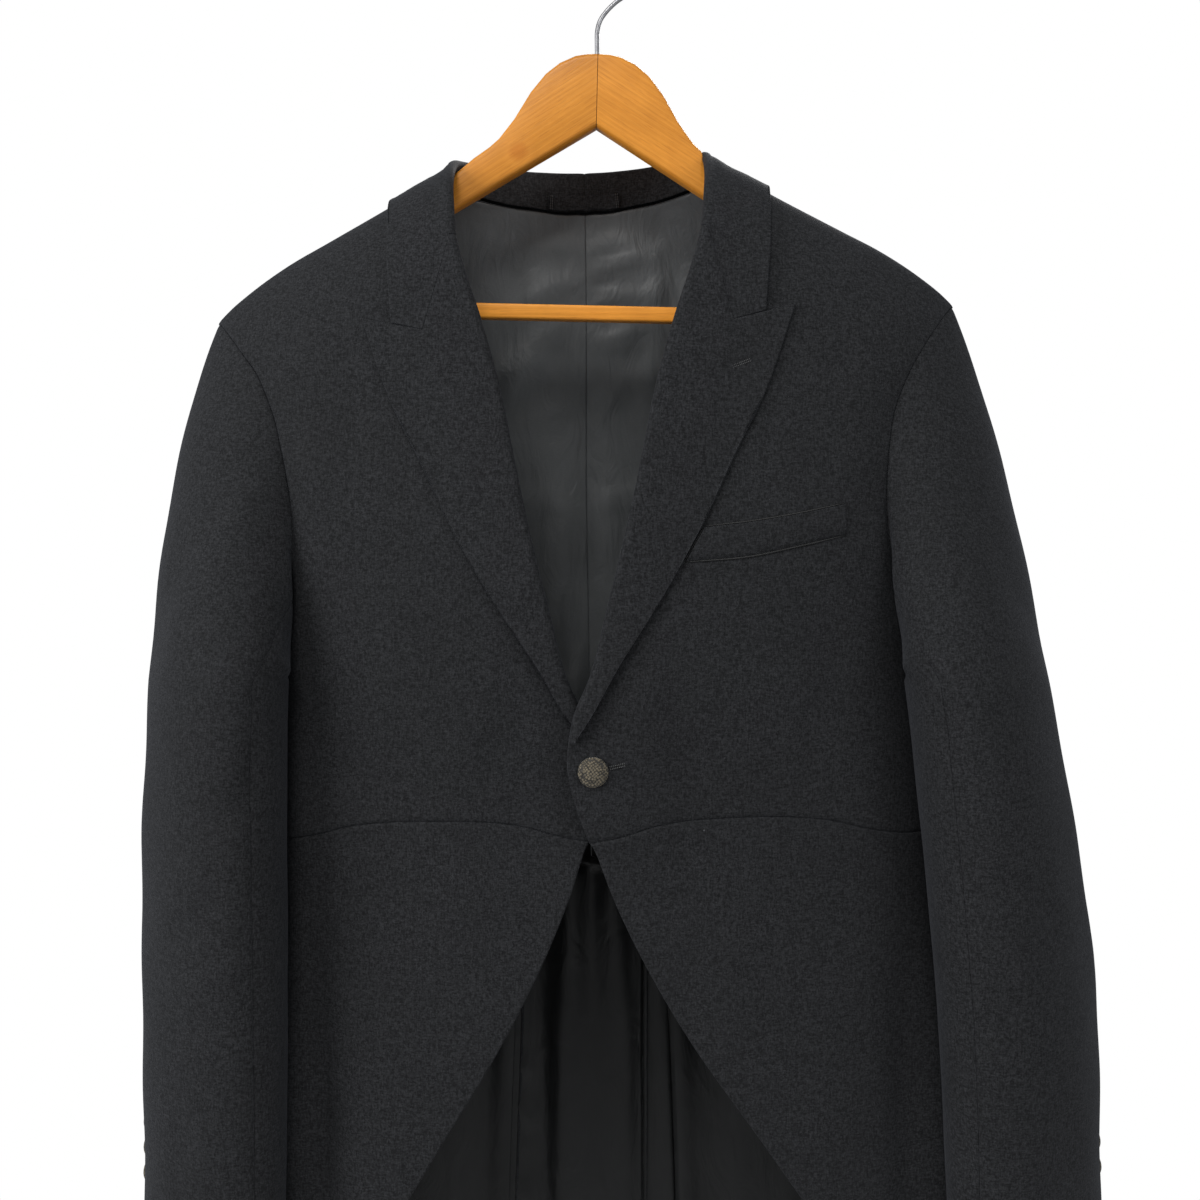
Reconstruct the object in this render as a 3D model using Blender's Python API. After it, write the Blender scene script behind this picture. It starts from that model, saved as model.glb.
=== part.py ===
"""A cutaway tailcoat with peak lapels and one front button, hung on a wooden hanger.

Metres, +Z up. The origin is the seat of the hook, where it hangs on a rail. The coat's front
faces -Y, and the wearer's left is +X. SIDE is +1 for the wearer's left and -1 for the right.
The body is one smooth form, a rounded section at each height that closes along the shoulders,
and each cloth panel is a stretch of it between two seams, with a wall of CLOTH behind it.
"""

import math

import bmesh
import bpy
import numpy as np

NAMES = {1: "left", -1: "right"}

# Driving sizes of the coat.
CLOTH = 0.002
LINING = 0.001
SEAM_GAP = 0.0003
SHOULDER_HALF = 0.240
TIP_Z = -0.2475
NECK_HALF = 0.085
NECK_Z = -0.1545
NAPE_Z = -0.170
WAIST_Z = -0.583
HEM_Z = -1.168
PLEAT_UNDERLAP = 0.010
VENT_UNDERLAP = 0.038
VENT_TOP_Z = -0.600
ARMHOLE_DEPTH = 0.218

# The rounded section: 2 is an ellipse, and more is squarer.
ROUNDNESS = 2.6
FRONT_SHOULDER_FALL = 0.090
BACK_SHOULDER_FALL = 0.070
NECK_RISE = 0.045
NECK_RISE_HALF = 0.095

# The over-front stands clear of the under-front round the button.
OVER_LIFT = 0.007
UNDER_SINK = 0.004

# The lapels and the collar.
LAPEL_CENTRE_X = -0.012
LAPEL_TILT = 0.034
ROLL_RADIUS = 0.0035
ROLL_LIFT = 0.005
FLAT_LIFT = 0.0027
LAPEL_FOOT = 0.0050
COLLAR_ROLL = 0.0034

# The hanger.
HOOK_RADIUS = 0.0225
WIRE = 0.003
CREST_Z = -0.0785
WOOD = 0.013
ARM_END = 0.206
HANGER_TURN = math.radians(-1.3)
BAR = 0.0098
HANGER_ROOM = 0.0042

# Buttons.
FRONT_BUTTON = 0.0093
CUFF_BUTTON = 0.0074
CUFF_BUTTON_STEP = 0.0162
CUFF_BUTTON_FIRST = 0.038


def read_table(names, rows):
    """A table as one array for each named column."""
    return {name: np.array(column, float) for name, column in zip(names.split(), zip(*rows))}


# Body sections by height: half widths of the wearer's left and right, and front and back depths.
BODY = read_table(
    "z left right front back centre tilt",
    (
        (-1.170, 0.212, 0.190, 0.044, 0.050, -0.004, 0.010),
        (-1.000, 0.230, 0.202, 0.047, 0.050, -0.004, 0.010),
        (-0.850, 0.238, 0.208, 0.050, 0.048, -0.004, 0.010),
        (-0.700, 0.232, 0.208, 0.053, 0.045, -0.004, 0.012),
        (-0.580, 0.2205, 0.204, 0.055, 0.041, -0.005, 0.014),
        (-0.480, 0.2120, 0.201, 0.062, 0.046, -0.006, 0.017),
        (-0.420, 0.211, 0.205, 0.064, 0.049, -0.007, 0.019),
        (-0.360, 0.219, 0.215, 0.062, 0.051, -0.008, 0.021),
        (-0.300, 0.231, 0.229, 0.058, 0.050, -0.008, 0.022),
        (-0.2475, 0.240, 0.240, 0.054, 0.048, -0.008, 0.023),
        (-0.100, 0.252, 0.252, 0.050, 0.050, -0.010, 0.023),
    ),
)

SHOULDER = read_table(
    "x z",
    (
        (0.000, -0.1545),
        (0.085, -0.1545),
        (0.100, -0.1610),
        (0.128, -0.1765),
        (0.167, -0.1975),
        (0.193, -0.2115),
        (0.219, -0.2290),
        (0.232, -0.2395),
        (0.240, -0.2475),
    ),
)

# The waist seam dips at the front edge and behind the arm, and rises between them.
WAIST = read_table(
    "x z",
    (
        (-0.030, -0.583),
        (0.000, -0.583),
        (0.020, -0.5795),
        (0.038, -0.5740),
        (0.056, -0.5708),
        (0.080, -0.5697),
        (0.130, -0.5703),
        (0.152, -0.5730),
        (0.168, -0.5775),
        (0.185, -0.5815),
        (0.230, -0.5850),
    ),
)

# The armhole by its own angle: 0 at the shoulder tip, 90 at the front, 180 under the arm.
ARMHOLE = read_table(
    "theta x drop face",
    (
        (0, 0.2400, 0.000, 0),
        (20, 0.2290, 0.012, 1),
        (45, 0.2090, 0.040, 1),
        (70, 0.1955, 0.072, 1),
        (90, 0.1890, 0.102, 1),
        (110, 0.1865, 0.135, 1),
        (135, 0.1900, 0.175, 1),
        (160, 0.1990, 0.206, 1),
        (180, 0.2060, 0.218, 0),
        (200, 0.2030, 0.203, -1),
        (225, 0.2005, 0.170, -1),
        (250, 0.2010, 0.132, -1),
        (270, 0.2040, 0.100, -1),
        (290, 0.2095, 0.070, -1),
        (315, 0.2210, 0.038, -1),
        (340, 0.2335, 0.012, -1),
        (360, 0.2400, 0.000, 0),
    ),
)

# The fold of the lapel, from the break above the button up to the gorge and the neck.
ROLL = read_table(
    "z x",
    (
        (-0.520, -0.0060),
        (-0.505, -0.0030),
        (-0.484, 0.0060),
        (-0.441, 0.0172),
        (-0.395, 0.0284),
        (-0.348, 0.0385),
        (-0.306, 0.0468),
        (-0.256, 0.0606),
        (-0.229, 0.0694),
        (-0.206, 0.0754),
        (-0.178, 0.0800),
        (-0.152, 0.0816),
    ),
)

LAPEL_EDGE = (
    (-0.0030, -0.5205),
    (0.0060, -0.5080),
    (0.0255, -0.4740),
    (0.0480, -0.4390),
    (0.0737, -0.3946),
    (0.0960, -0.3480),
    (0.1160, -0.3070),
    (0.1338, -0.2553),
)
GORGE_TOP = (0.0754, -0.206)
GORGE_FOOT = (0.0954, -0.2645)
COLLAR_CORNER = (0.1153, -0.2590)

# Front edges below the break, as distances from the centre of the lapels.
OVER_EDGE = (
    (-0.0060, -0.520),
    (-0.0068, -0.534),
    (-0.0044, -0.550),
    (0.0000, -0.565),
    (0.0068, -0.583),
)
UNDER_EDGE = (
    (-0.0060, -0.520),
    (-0.0150, -0.534),
    (-0.0190, -0.550),
    (-0.0160, -0.566),
    (-0.0082, -0.583),
)

# The cutaway edge of the skirt, by angle round the body: 0 at the front and 180 at the back.
CUTAWAY = read_table(
    "z phi",
    (
        (-1.168, 121.0),
        (-1.160, 115.0),
        (-1.135, 107.5),
        (-1.100, 100.0),
        (-1.050, 88.0),
        (-1.000, 75.0),
        (-0.950, 61.0),
        (-0.900, 48.0),
        (-0.850, 36.0),
        (-0.804, 26.5),
        (-0.770, 20.3),
        (-0.715, 11.2),
        (-0.660, 4.8),
        (-0.620, 1.7),
        (-0.583, 0.0),
    ),
)

# Soft folds: angle round the body, its spread, depth outwards, and the heights where it starts and is full.
FOLDS = read_table(
    "side phi spread depth start full",
    (
        (-1, 52, 7, -0.0075, -0.60, -0.78),
        (-1, 68, 8, 0.0050, -0.60, -0.78),
        (1, 55, 7, -0.0070, -0.60, -0.78),
        (1, 70, 8, 0.0055, -0.60, -0.78),
        (-1, 33, 9, 0.0030, -0.62, -0.80),
        (1, 30, 9, 0.0030, -0.62, -0.80),
        (-1, 128, 9, 0.0060, -0.66, -0.95),
        (-1, 148, 8, -0.0045, -0.66, -0.95),
        (1, 132, 10, 0.0055, -0.66, -0.95),
        (1, 152, 7, -0.0040, -0.66, -0.95),
    ),
)

# Sleeves below the armhole: outline in front view, from the coat's centre, and the two depths.
SLEEVE = {
    -1: read_table(
        "z outer inner front back",
        (
            (-0.845, 0.2885, 0.1925, -0.066, 0.022),
            (-0.790, 0.2890, 0.1915, -0.071, 0.027),
            (-0.720, 0.2900, 0.1905, -0.077, 0.033),
            (-0.640, 0.2895, 0.1900, -0.081, 0.040),
            (-0.560, 0.2895, 0.1900, -0.083, 0.047),
            (-0.485, 0.2870, 0.1885, -0.084, 0.054),
        ),
    ),
    1: read_table(
        "z outer inner front back",
        (
            (-0.842, 0.3300, 0.2250, -0.064, 0.024),
            (-0.790, 0.3290, 0.2220, -0.070, 0.029),
            (-0.720, 0.3270, 0.2185, -0.076, 0.034),
            (-0.640, 0.3215, 0.2130, -0.080, 0.041),
            (-0.560, 0.3115, 0.2060, -0.083, 0.048),
            (-0.485, 0.3000, 0.1985, -0.084, 0.055),
        ),
    ),
}
BODY_CLEARANCE = 0.0045
CAP_FULLNESS = {-1: 0.79, 1: 0.58}
SLEEVE_TURN = math.radians(24)
FRONT_SEAM = 138.0
HIND_SEAM_TOP = -82.0
HIND_SEAM_CUFF = -20.0

# The collar, from the gorge to the centre back: fold line, neck seam and lower edge.
COLLAR = read_table(
    "fold_x fold_y fold_z neck_x neck_z neck_face edge_x edge_z edge_face",
    (
        (0.0789, -0.0500, -0.2060, 0.0806, -0.2065, 1, 0.1153, -0.2590, 1),
        (0.0812, -0.0400, -0.1850, 0.0850, -0.1850, 1, 0.1170, -0.2370, 1),
        (0.0828, -0.0265, -0.1655, 0.0872, -0.1670, 1, 0.1190, -0.2080, 1),
        (0.0826, -0.0030, -0.1490, 0.0850, -0.1545, 0, 0.1205, -0.1725, 0),
        (0.0775, 0.0190, -0.1430, 0.0800, -0.1585, -1, 0.1110, -0.1810, -1),
        (0.0660, 0.0345, -0.1420, 0.0695, -0.1620, -1, 0.0870, -0.1830, -1),
        (0.0440, 0.0460, -0.1425, 0.0470, -0.1655, -1, 0.0570, -0.1830, -1),
        (0.0190, 0.0505, -0.1434, 0.0200, -0.1690, -1, 0.0240, -0.1825, -1),
        (0.0000, 0.0512, -0.1438, 0.0000, -0.1700, -1, 0.0000, -0.1825, -1),
    ),
)

# The seam between the back panel and its neighbours, from the hem to the armhole.
BACK_SEAM_TAIL = ((0.072, -1.168), (0.066, -0.980), (0.060, -0.800), (0.056, -0.680), (0.055, -0.580))
BACK_SEAM_BODICE = (
    (0.0550, -0.5800),
    (0.0590, -0.5400),
    (0.0680, -0.5000),
    (0.0840, -0.4620),
    (0.1080, -0.4340),
    (0.1390, -0.4140),
    (0.1720, -0.4010),
)
ARMHOLE_BACK = 240.0
ARMHOLE_FRONT = 165.0
FRONT_SEAM_PHI = 88.0

# The hanger's arm below the crest: distance from the middle, and how far down each edge is.
ARM_TOP = (
    (0.0002, 0.0000),
    (0.0075, 0.0004),
    (0.0145, 0.0017),
    (0.0245, 0.0064),
    (0.0335, 0.0137),
    (0.0430, 0.0258),
    (0.0535, 0.0438),
    (0.0630, 0.0566),
    (0.0690, 0.0622),
    (0.0790, 0.0696),
    (0.0890, 0.0785),
)
ARM_UNDER_DROP = 0.0476
ARM_UNDER_SLOPE = 0.622

# The welt of the breast pocket in front view: its four corners.
WELT_LOW = ((0.0655, -0.4123), (0.1060, -0.4100), (0.1340, -0.4050), (0.1652, -0.3986))
WELT_HIGH = ((0.0770, -0.3920), (0.1060, -0.3895), (0.1330, -0.3858), (0.1640, -0.3800))
BUTTON_XZ = (0.0091, -0.5387)


def smooth(xs, ys, x):
    """A smooth curve through the points (xs, ys), with xs rising, read at x."""
    xs, ys, x = np.asarray(xs, float), np.asarray(ys, float), np.asarray(x, float)
    slopes = np.gradient(ys, xs, axis=0)
    x = np.clip(x, xs[0], xs[-1])
    i = np.clip(np.searchsorted(xs, x) - 1, 0, len(xs) - 2)
    span = xs[i + 1] - xs[i]
    t = (x - xs[i]) / span
    if ys.ndim > 1:
        t, span = t[..., None], span[..., None]
    rise, steep = 3 * t**2 - 2 * t**3, t**3 - t**2
    bend = (steep - t**2 + t) * slopes[i] + steep * slopes[i + 1]
    return (1 - rise) * ys[i] + rise * ys[i + 1] + span * bend


def along(points, t):
    """A smooth line through the points, read at shares t of its length."""
    points = np.asarray(points, float)
    steps = np.linalg.norm(np.diff(points, axis=0), axis=1)
    lengths = np.concatenate([[0], np.cumsum(steps)])
    return smooth(lengths / lengths[-1], points, t)


def step(low, high, x):
    """0 at low and 1 at high, smooth between, for either order of the two."""
    t = np.clip((np.asarray(x, float) - low) / (high - low), 0, 1)
    return t * t * (3 - 2 * t)


def unit(v):
    return v / np.maximum(np.linalg.norm(v, axis=-1, keepdims=True), 1e-12)


def shoulder_z(x):
    """Height of the shoulder line, with the rise that shapes the neck between its two ends."""
    x = np.abs(np.asarray(x, float))
    line = smooth(SHOULDER["x"][1:], SHOULDER["z"][1:], x)
    inside = np.clip(1 - (x / NECK_RISE_HALF) ** 2, 0, 1)
    return line + NECK_RISE * inside**2


def overlap(side, x, z):
    """How far the fronts stand apart round the button."""
    near = 1 - step(0.005, 0.095, x)
    level = step(-0.43, -0.505, z) * (1 - 0.85 * step(-0.562, -0.625, z))
    return (OVER_LIFT if side > 0 else -UNDER_SINK) * near * level


def folds(side, phi, z):
    """Depth of the soft folds."""
    total = np.zeros(np.broadcast(phi, z).shape)
    for k in range(len(FOLDS["side"])):
        if FOLDS["side"][k] == side:
            bell = np.exp(-(((phi - FOLDS["phi"][k]) / FOLDS["spread"][k]) ** 2))
            total = total + FOLDS["depth"][k] * bell * step(FOLDS["start"][k], FOLDS["full"][k], z)
    return total


def half_width(side, z):
    return smooth(BODY["z"], BODY["left" if side > 0 else "right"], z)


def body(side, phi, z):
    """A point of the coat's outer surface, at angle phi round the body and height z."""
    phi, z = np.broadcast_arrays(np.asarray(phi, float), np.asarray(z, float))
    turn = np.radians(phi)
    sine, cosine = np.sin(turn), np.cos(turn)
    power = 2 / ROUNDNESS
    x = half_width(side, z) * np.sign(sine) * np.abs(sine) ** power
    is_front = cosine > 0
    depth = np.where(is_front, smooth(BODY["z"], BODY["front"], z), smooth(BODY["z"], BODY["back"], z))
    fall = np.where(is_front, FRONT_SHOULDER_FALL, BACK_SHOULDER_FALL)
    drop = np.clip((shoulder_z(x) - z) / fall, 0, 1)
    closing = np.sqrt(np.clip(1 - (1 - drop) ** 2, 0, 1))
    y = -np.sign(cosine) * depth * closing * np.abs(cosine) ** power
    y = y - np.where(is_front, overlap(side, x, z), 0)
    swell = folds(side, phi, z)
    x = x + swell * sine
    y = y - swell * cosine
    return placed(side, x, y, z)


def placed(side, x, y, z):
    """Puts a point of the level, centred coat where the coat hangs."""
    centre, tilt = smooth(BODY["z"], BODY["centre"], z), smooth(BODY["z"], BODY["tilt"], z)
    return np.stack([centre + side * x, y, z + tilt * side * x], -1)


def body_normal(side, phi, z):
    """The outward direction of the body's surface."""
    d_phi, d_z = 1.0, 0.002
    across = body(side, phi + d_phi, z) - body(side, phi - d_phi, z)
    up = body(side, phi, z + d_z) - body(side, phi, z - d_z)
    normal = unit(np.cross(across, up) * side)
    x = body_x(side, phi, z)
    ridge = 1 - step(0.0005, 0.0060, shoulder_z(x) - z)
    return unit(normal * (1 - ridge[..., None]) + shoulder_normal(side, x) * ridge[..., None])


def body_x(side, phi, z):
    sine = np.sin(np.radians(phi))
    return half_width(side, z) * np.sign(sine) * np.abs(sine) ** (2 / ROUNDNESS)


def shoulder_normal(side, x):
    """Straight up from the shoulder line, square to its slope."""
    slope = (shoulder_line(x + 0.003) - shoulder_line(x - 0.003)) / 0.006
    return unit(np.stack([-side * slope, 0 * slope, 1 + 0 * slope], -1))


def shoulder_line(x):
    return smooth(SHOULDER["x"][1:], SHOULDER["z"][1:], np.abs(x))


def phi_at(side, x, z, face=1):
    """The angle round the body of the point x from the centre, on the front (1) or back (-1)."""
    ratio = np.clip(np.abs(x) / half_width(side, z), 0, 1)
    phi = np.degrees(np.arcsin(ratio ** (ROUNDNESS / 2))) * np.sign(x + 1e-12)
    return np.where(np.asarray(face) < 0, 180 - phi, np.where(np.asarray(face) > 0, phi, 90.0))


def lapel_to_body(side, x, z):
    """From lapel measures to the body's own x and height, for a point in front view."""
    world_x = LAPEL_CENTRE_X + side * np.asarray(x, float)
    world_z = np.asarray(z, float) + LAPEL_TILT * side * x
    own_x = side * (world_x - smooth(BODY["z"], BODY["centre"], world_z))
    own_z = world_z - smooth(BODY["z"], BODY["tilt"], world_z) * side * own_x
    return own_x, own_z


def front_at(side, x, z, lift):
    """A point in lapel measures on the coat's front, moved outwards by lift."""
    own_x, own_z = lapel_to_body(side, x, z)
    own_z = np.minimum(own_z, shoulder_z(own_x) - 0.0001)
    phi = phi_at(side, own_x, own_z)
    return body(side, phi, own_z) + body_normal(side, phi, own_z) * np.asarray(lift, float)[..., None]


def armhole(side, theta):
    """(phi, z) of the armhole at its own angle theta, in degrees."""
    theta = np.mod(np.asarray(theta, float), 360.0)
    x = smooth(ARMHOLE["theta"], ARMHOLE["x"], theta)
    z = TIP_Z - smooth(ARMHOLE["theta"], ARMHOLE["drop"], theta)
    low_half = half_width(side, TIP_Z - ARMHOLE_DEPTH)
    stretch = 1 + (low_half / 0.206 - 1) * step(60, 150, np.abs(180 - np.abs(theta - 180)))
    x = np.minimum(x * stretch, half_width(side, z))
    face = np.where(theta < 180, 1, -1)
    phi = phi_at(side, x, z, face)
    on_side = (theta < 0.01) | (theta > 359.99) | (np.abs(theta - 180) < 0.01)
    return np.where(on_side, 90.0, phi), z


def coons(low, high, left, right, u, v):
    """A grid between four edges whose lines stand at shares u and v: low and high run along u."""
    u, v = np.asarray(u)[None, :, None], np.asarray(v)[:, None, None]
    ruled_v = (1 - v) * low[None] + v * high[None]
    ruled_u = (1 - u) * left[:, None] + u * right[:, None]
    corners_low = (1 - u) * (1 - v) * low[0] + u * (1 - v) * low[-1]
    corners_high = (1 - u) * v * high[0] + u * v * high[-1]
    return ruled_v + ruled_u - corners_low - corners_high


def grid_normals(grid, outward):
    """Directions square to a grid of points, on the same side as outward."""
    across, up = np.gradient(grid, axis=1), np.gradient(grid, axis=0)
    normal = unit(np.cross(across, up))
    return normal * np.where((normal * outward).sum(-1, keepdims=True) < 0, -1.0, 1.0)


def inset(grid, gap, edges="lrbt"):
    """Draws a grid's edges in by gap, so that panels lie apart at their seams."""
    out = grid.copy()
    pairs = {"l": (np.s_[:, 0], np.s_[:, 1]), "r": (np.s_[:, -1], np.s_[:, -2])}
    pairs.update({"b": (np.s_[0], np.s_[1]), "t": (np.s_[-1], np.s_[-2])})
    for name in edges:
        edge, beside = pairs[name]
        out[edge] = out[edge] + unit(grid[beside] - grid[edge]) * gap
    return out


def material(name, colour, roughness, metallic=0.0):
    made = bpy.data.materials.get(name) or bpy.data.materials.new(name)
    made.use_nodes = True
    shader = made.node_tree.nodes["Principled BSDF"]
    shader.inputs["Base Color"].default_value = (*colour, 1)
    shader.inputs["Roughness"].default_value = roughness
    shader.inputs["Metallic"].default_value = metallic
    return made


def add_object(name, verts, faces, look, smooth_angle=50):
    mesh = bpy.data.meshes.new(name)
    mesh.from_pydata([tuple(map(float, v)) for v in verts], [], faces)
    work = bmesh.new()
    work.from_mesh(mesh)
    bmesh.ops.recalc_face_normals(work, faces=work.faces)
    if work.calc_volume(signed=True) < 0:
        bmesh.ops.reverse_faces(work, faces=work.faces)
    work.to_mesh(mesh)
    work.free()
    mesh.shade_smooth()
    mesh.set_sharp_from_angle(angle=math.radians(smooth_angle))
    mesh.materials.append(look)
    made = bpy.data.objects.new(name, mesh)
    bpy.context.scene.collection.objects.link(made)
    return made


def wall(name, outer, normals, thickness, look):
    """A closed wall of cloth behind a grid of outer points."""
    rows, cols = outer.shape[:2]
    inner = outer - normals * thickness
    verts = np.concatenate([outer.reshape(-1, 3), inner.reshape(-1, 3)])
    count = rows * cols
    faces = []
    for r in range(rows - 1):
        for c in range(cols - 1):
            a, b = r * cols + c, r * cols + c + 1
            d, e = a + cols, b + cols
            faces.append((a, b, e, d))
            faces.append((a + count, d + count, e + count, b + count))
    ring = list(range(cols)) + [r * cols + cols - 1 for r in range(1, rows)]
    ring += [(rows - 1) * cols + c for c in range(cols - 2, -1, -1)]
    ring += [r * cols for r in range(rows - 2, 0, -1)]
    for a, b in zip(ring, ring[1:] + ring[:1]):
        faces.append((a, a + count, b + count, b))
    return add_object(name, verts, faces, look)


def body_panel(name, side, phi, z, look, lift=0.0, thickness=CLOTH, gap=SEAM_GAP / 2, edges="lrbt"):
    """A panel of the body from grids of angles and heights."""
    normals = body_normal(side, phi, z)
    lift = np.broadcast_to(np.asarray(lift, float), phi.shape)
    outer = body(side, phi, z) + normals * lift[..., None]
    return wall(name, inset(outer, gap, edges), normals, thickness, look)


def edge_of_front(side, z):
    """The front panel's edge in lapel measures: front edge, roll line, then the neck seam."""
    below = read_table("x z", (OVER_EDGE if side > 0 else UNDER_EDGE)[::-1])
    roll_x = smooth(ROLL["z"], ROLL["x"], z) + ROLL_RADIUS
    neck_x = smooth(COLLAR["neck_z"][:4], COLLAR["neck_x"][:4], z)
    neck = step(-0.209, -0.203, z)
    join = step(-0.520, -0.515, z)
    return (1 - join) * smooth(below["z"], below["x"], z) + join * ((1 - neck) * roll_x + neck * neck_x)


def waist_z(side, phi):
    """Height of the waist seam at an angle round the body."""
    front = smooth(WAIST["x"], WAIST["z"], body_x(side, phi, WAIST_Z))
    back = -0.585 + 0.005 * step(95, 160, phi)
    return np.where(np.asarray(phi) <= 90, front, back)


def stacked(phi, z):
    return np.stack(np.broadcast_arrays(np.asarray(phi, float), np.asarray(z, float)), -1)


def front_panel(side, look):
    """Front of the bodice: waist seam to shoulder seam, front edge to armhole."""
    v = [0, 0.045, 0.095, 0.148, 0.19, 0.25, 0.32, 0.39, 0.46, 0.53, 0.60, 0.67, 0.735, 0.80]
    v = np.array(v + [0.855, 0.89, 0.925, 0.955, 0.978, 0.994, 1])
    u = np.array([0, 0.08, 0.17, 0.28, 0.40, 0.52, 0.64, 0.75, 0.85, 0.93, 1])
    left_z = WAIST_Z + v * (NECK_Z - 0.0005 - WAIST_Z)
    left_x, left_own = lapel_to_body(side, edge_of_front(side, left_z), left_z)
    left_own[-1] = shoulder_z(left_x[-1])
    left = stacked(phi_at(side, left_x, left_own), left_own)
    join_phi, join_z = armhole(side, ARMHOLE_FRONT)
    join_v = 0.36
    seam = np.clip(v / join_v, 0, 1)
    arm_phi, arm_z = armhole(side, ARMHOLE_FRONT * (1 - np.clip((v - join_v) / (1 - join_v), 0, 1)))
    foot_z = waist_z(side, FRONT_SEAM_PHI)
    seam_phi = FRONT_SEAM_PHI + (join_phi - FRONT_SEAM_PHI) * seam
    seam_line = stacked(seam_phi, foot_z + (join_z - foot_z) * seam)
    right = np.where((v < join_v)[:, None], seam_line, stacked(arm_phi, arm_z))
    low_phi = left[0, 0] + (right[0, 0] - left[0, 0]) * u
    low = stacked(low_phi, waist_z(side, low_phi))
    top_x = left_x[-1] + (SHOULDER_HALF - left_x[-1]) * u
    high = stacked(phi_at(side, top_x, shoulder_z(top_x)), shoulder_z(top_x))
    high[-1] = right[-1]
    left[0], right[0] = low[0], low[-1]
    grid = coons(low, high, left, right, u, v)
    return body_panel(f"front_{NAMES[side]}", side, grid[..., 0], grid[..., 1], look)


def side_panel(side, look):
    """The narrow panel under the arm, from the waist seam to the armhole."""
    v = np.linspace(0, 1, 9)
    u = np.linspace(0, 1, 8)
    join_phi, join_z = armhole(side, ARMHOLE_FRONT)
    foot_z = waist_z(side, FRONT_SEAM_PHI)
    seam_phi = FRONT_SEAM_PHI + (join_phi - FRONT_SEAM_PHI) * v
    left = stacked(seam_phi, foot_z + (join_z - foot_z) * v)
    seam = back_seam_bodice(side, v)
    arm_phi, arm_z = armhole(side, ARMHOLE_FRONT + (ARMHOLE_BACK - ARMHOLE_FRONT) * u)
    high = stacked(arm_phi, arm_z)
    low_phi = FRONT_SEAM_PHI + (seam[0, 0] - FRONT_SEAM_PHI) * u
    low = stacked(low_phi, waist_z(side, low_phi))
    seam[0], seam[-1] = low[-1], high[-1]
    grid = coons(low, high, left, seam, u, v)
    return body_panel(f"side_{NAMES[side]}", side, grid[..., 0], grid[..., 1], look)


def back_seam_bodice(side, t):
    """(phi, z) along the back seam from the waist up to the armhole."""
    end_phi, end_z = armhole(side, ARMHOLE_BACK)
    points = np.array([*BACK_SEAM_BODICE, (abs(body_x(side, end_phi, end_z)), end_z)], float)
    line = along(points, t)
    return stacked(phi_at(side, line[:, 0], line[:, 1], -1), line[:, 1])


def back_seam_tail(side, t, inwards=0.0):
    """(phi, z) along the back seam from the hem up to the waist."""
    line = along(BACK_SEAM_TAIL, t)
    return stacked(phi_at(side, line[:, 0] - inwards, line[:, 1], -1), line[:, 1])


def back_grid(side, vent=0.0):
    """Angles and heights of a back panel and its tail, from the hem to the neck seam."""
    tail = np.array([0, 0.02, 0.10, 0.21, 0.32, 0.43, 0.54, 0.65, 0.76, 0.87, 0.965, 1])
    bodice = np.linspace(0, 1, 9)
    arm = np.array([0, 0.16, 0.32, 0.48, 0.63, 0.76, 0.87, 0.94, 0.985, 1])
    arm_phi, arm_z = armhole(side, ARMHOLE_BACK + (360 - ARMHOLE_BACK) * arm[1:])
    armhole_line = stacked(arm_phi, arm_z)
    left = np.concatenate([back_seam_tail(side, tail), back_seam_bodice(side, bodice)[1:], armhole_line])
    joins = (HEM_Z, BACK_SEAM_TAIL[-1][1], -0.415, NAPE_Z)
    centre_z = np.concatenate(
        [
            joins[0] + (joins[1] - joins[0]) * tail,
            joins[1] + (joins[2] - joins[1]) * bodice[1:],
            joins[2] + (joins[3] - joins[2]) * arm[1:],
        ]
    )
    below = centre_z < VENT_TOP_Z - 0.01
    centre_phi = 180 + np.where(below, 180 - phi_at(side, vent, centre_z, -1), 0)
    right = stacked(centre_phi, centre_z)
    u = np.array([0, 0.14, 0.28, 0.42, 0.56, 0.61, 0.67, 0.77, 0.88, 1])
    v = np.clip((centre_z + 0.52) / (NAPE_Z + 0.52), 0, 1) ** 1.3
    low = stacked(left[0, 0] + (right[0, 0] - left[0, 0]) * u, HEM_Z)
    neck_x = neck_own(side, 3.0)[0]
    ridge_x = neck_x + (SHOULDER_HALF - neck_x) * np.clip(1 - u / 0.56, 0, 1)
    ridge = stacked(phi_at(side, ridge_x, shoulder_z(ridge_x), -1), shoulder_z(ridge_x))
    own_x, own_z = neck_own(side, 3 + 5 * np.clip((u - 0.56) / 0.44, 0, 1))
    high = np.where((u <= 0.56)[:, None], ridge, stacked(phi_at(side, own_x, own_z, -1), own_z))
    left[-1], right[-1] = high[0], high[-1]
    return coons(low, high, left, right, u, v)


def back_lift(side, grid):
    """The right half sinks under the left half below the top of the vent."""
    if side > 0:
        return np.zeros(grid.shape[:2])
    x = body_x(side, grid[..., 0], grid[..., 1])
    depth = CLOTH + LINING + 3 * SEAM_GAP
    return -depth * step(0.036, 0.014, x) * step(VENT_TOP_Z + 0.019, VENT_TOP_Z + 0.001, grid[..., 1])


def back_panel(side, look):
    grid = back_grid(side, 0.0 if side > 0 else VENT_UNDERLAP)
    return body_panel(f"back_{NAMES[side]}", side, grid[..., 0], grid[..., 1], look, back_lift(side, grid))


def back_lining(side, look):
    """Lining inside the back and the tail, within the panel's own edges."""
    grid = back_grid(side, 0.0 if side > 0 else VENT_UNDERLAP)
    lift = back_lift(side, grid) - CLOTH - SEAM_GAP
    grid, lift = grid[1:-1, 2:], lift[1:-1, 2:]
    past_centre = grid[:, -1, 0] - 180
    grid[:, -1, 0] = 180 + past_centre * 0.75
    phi, z = grid[..., 0], grid[..., 1]
    return body_panel(f"lining_back_{NAMES[side]}", side, phi, z, look, lift, LINING)


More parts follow.
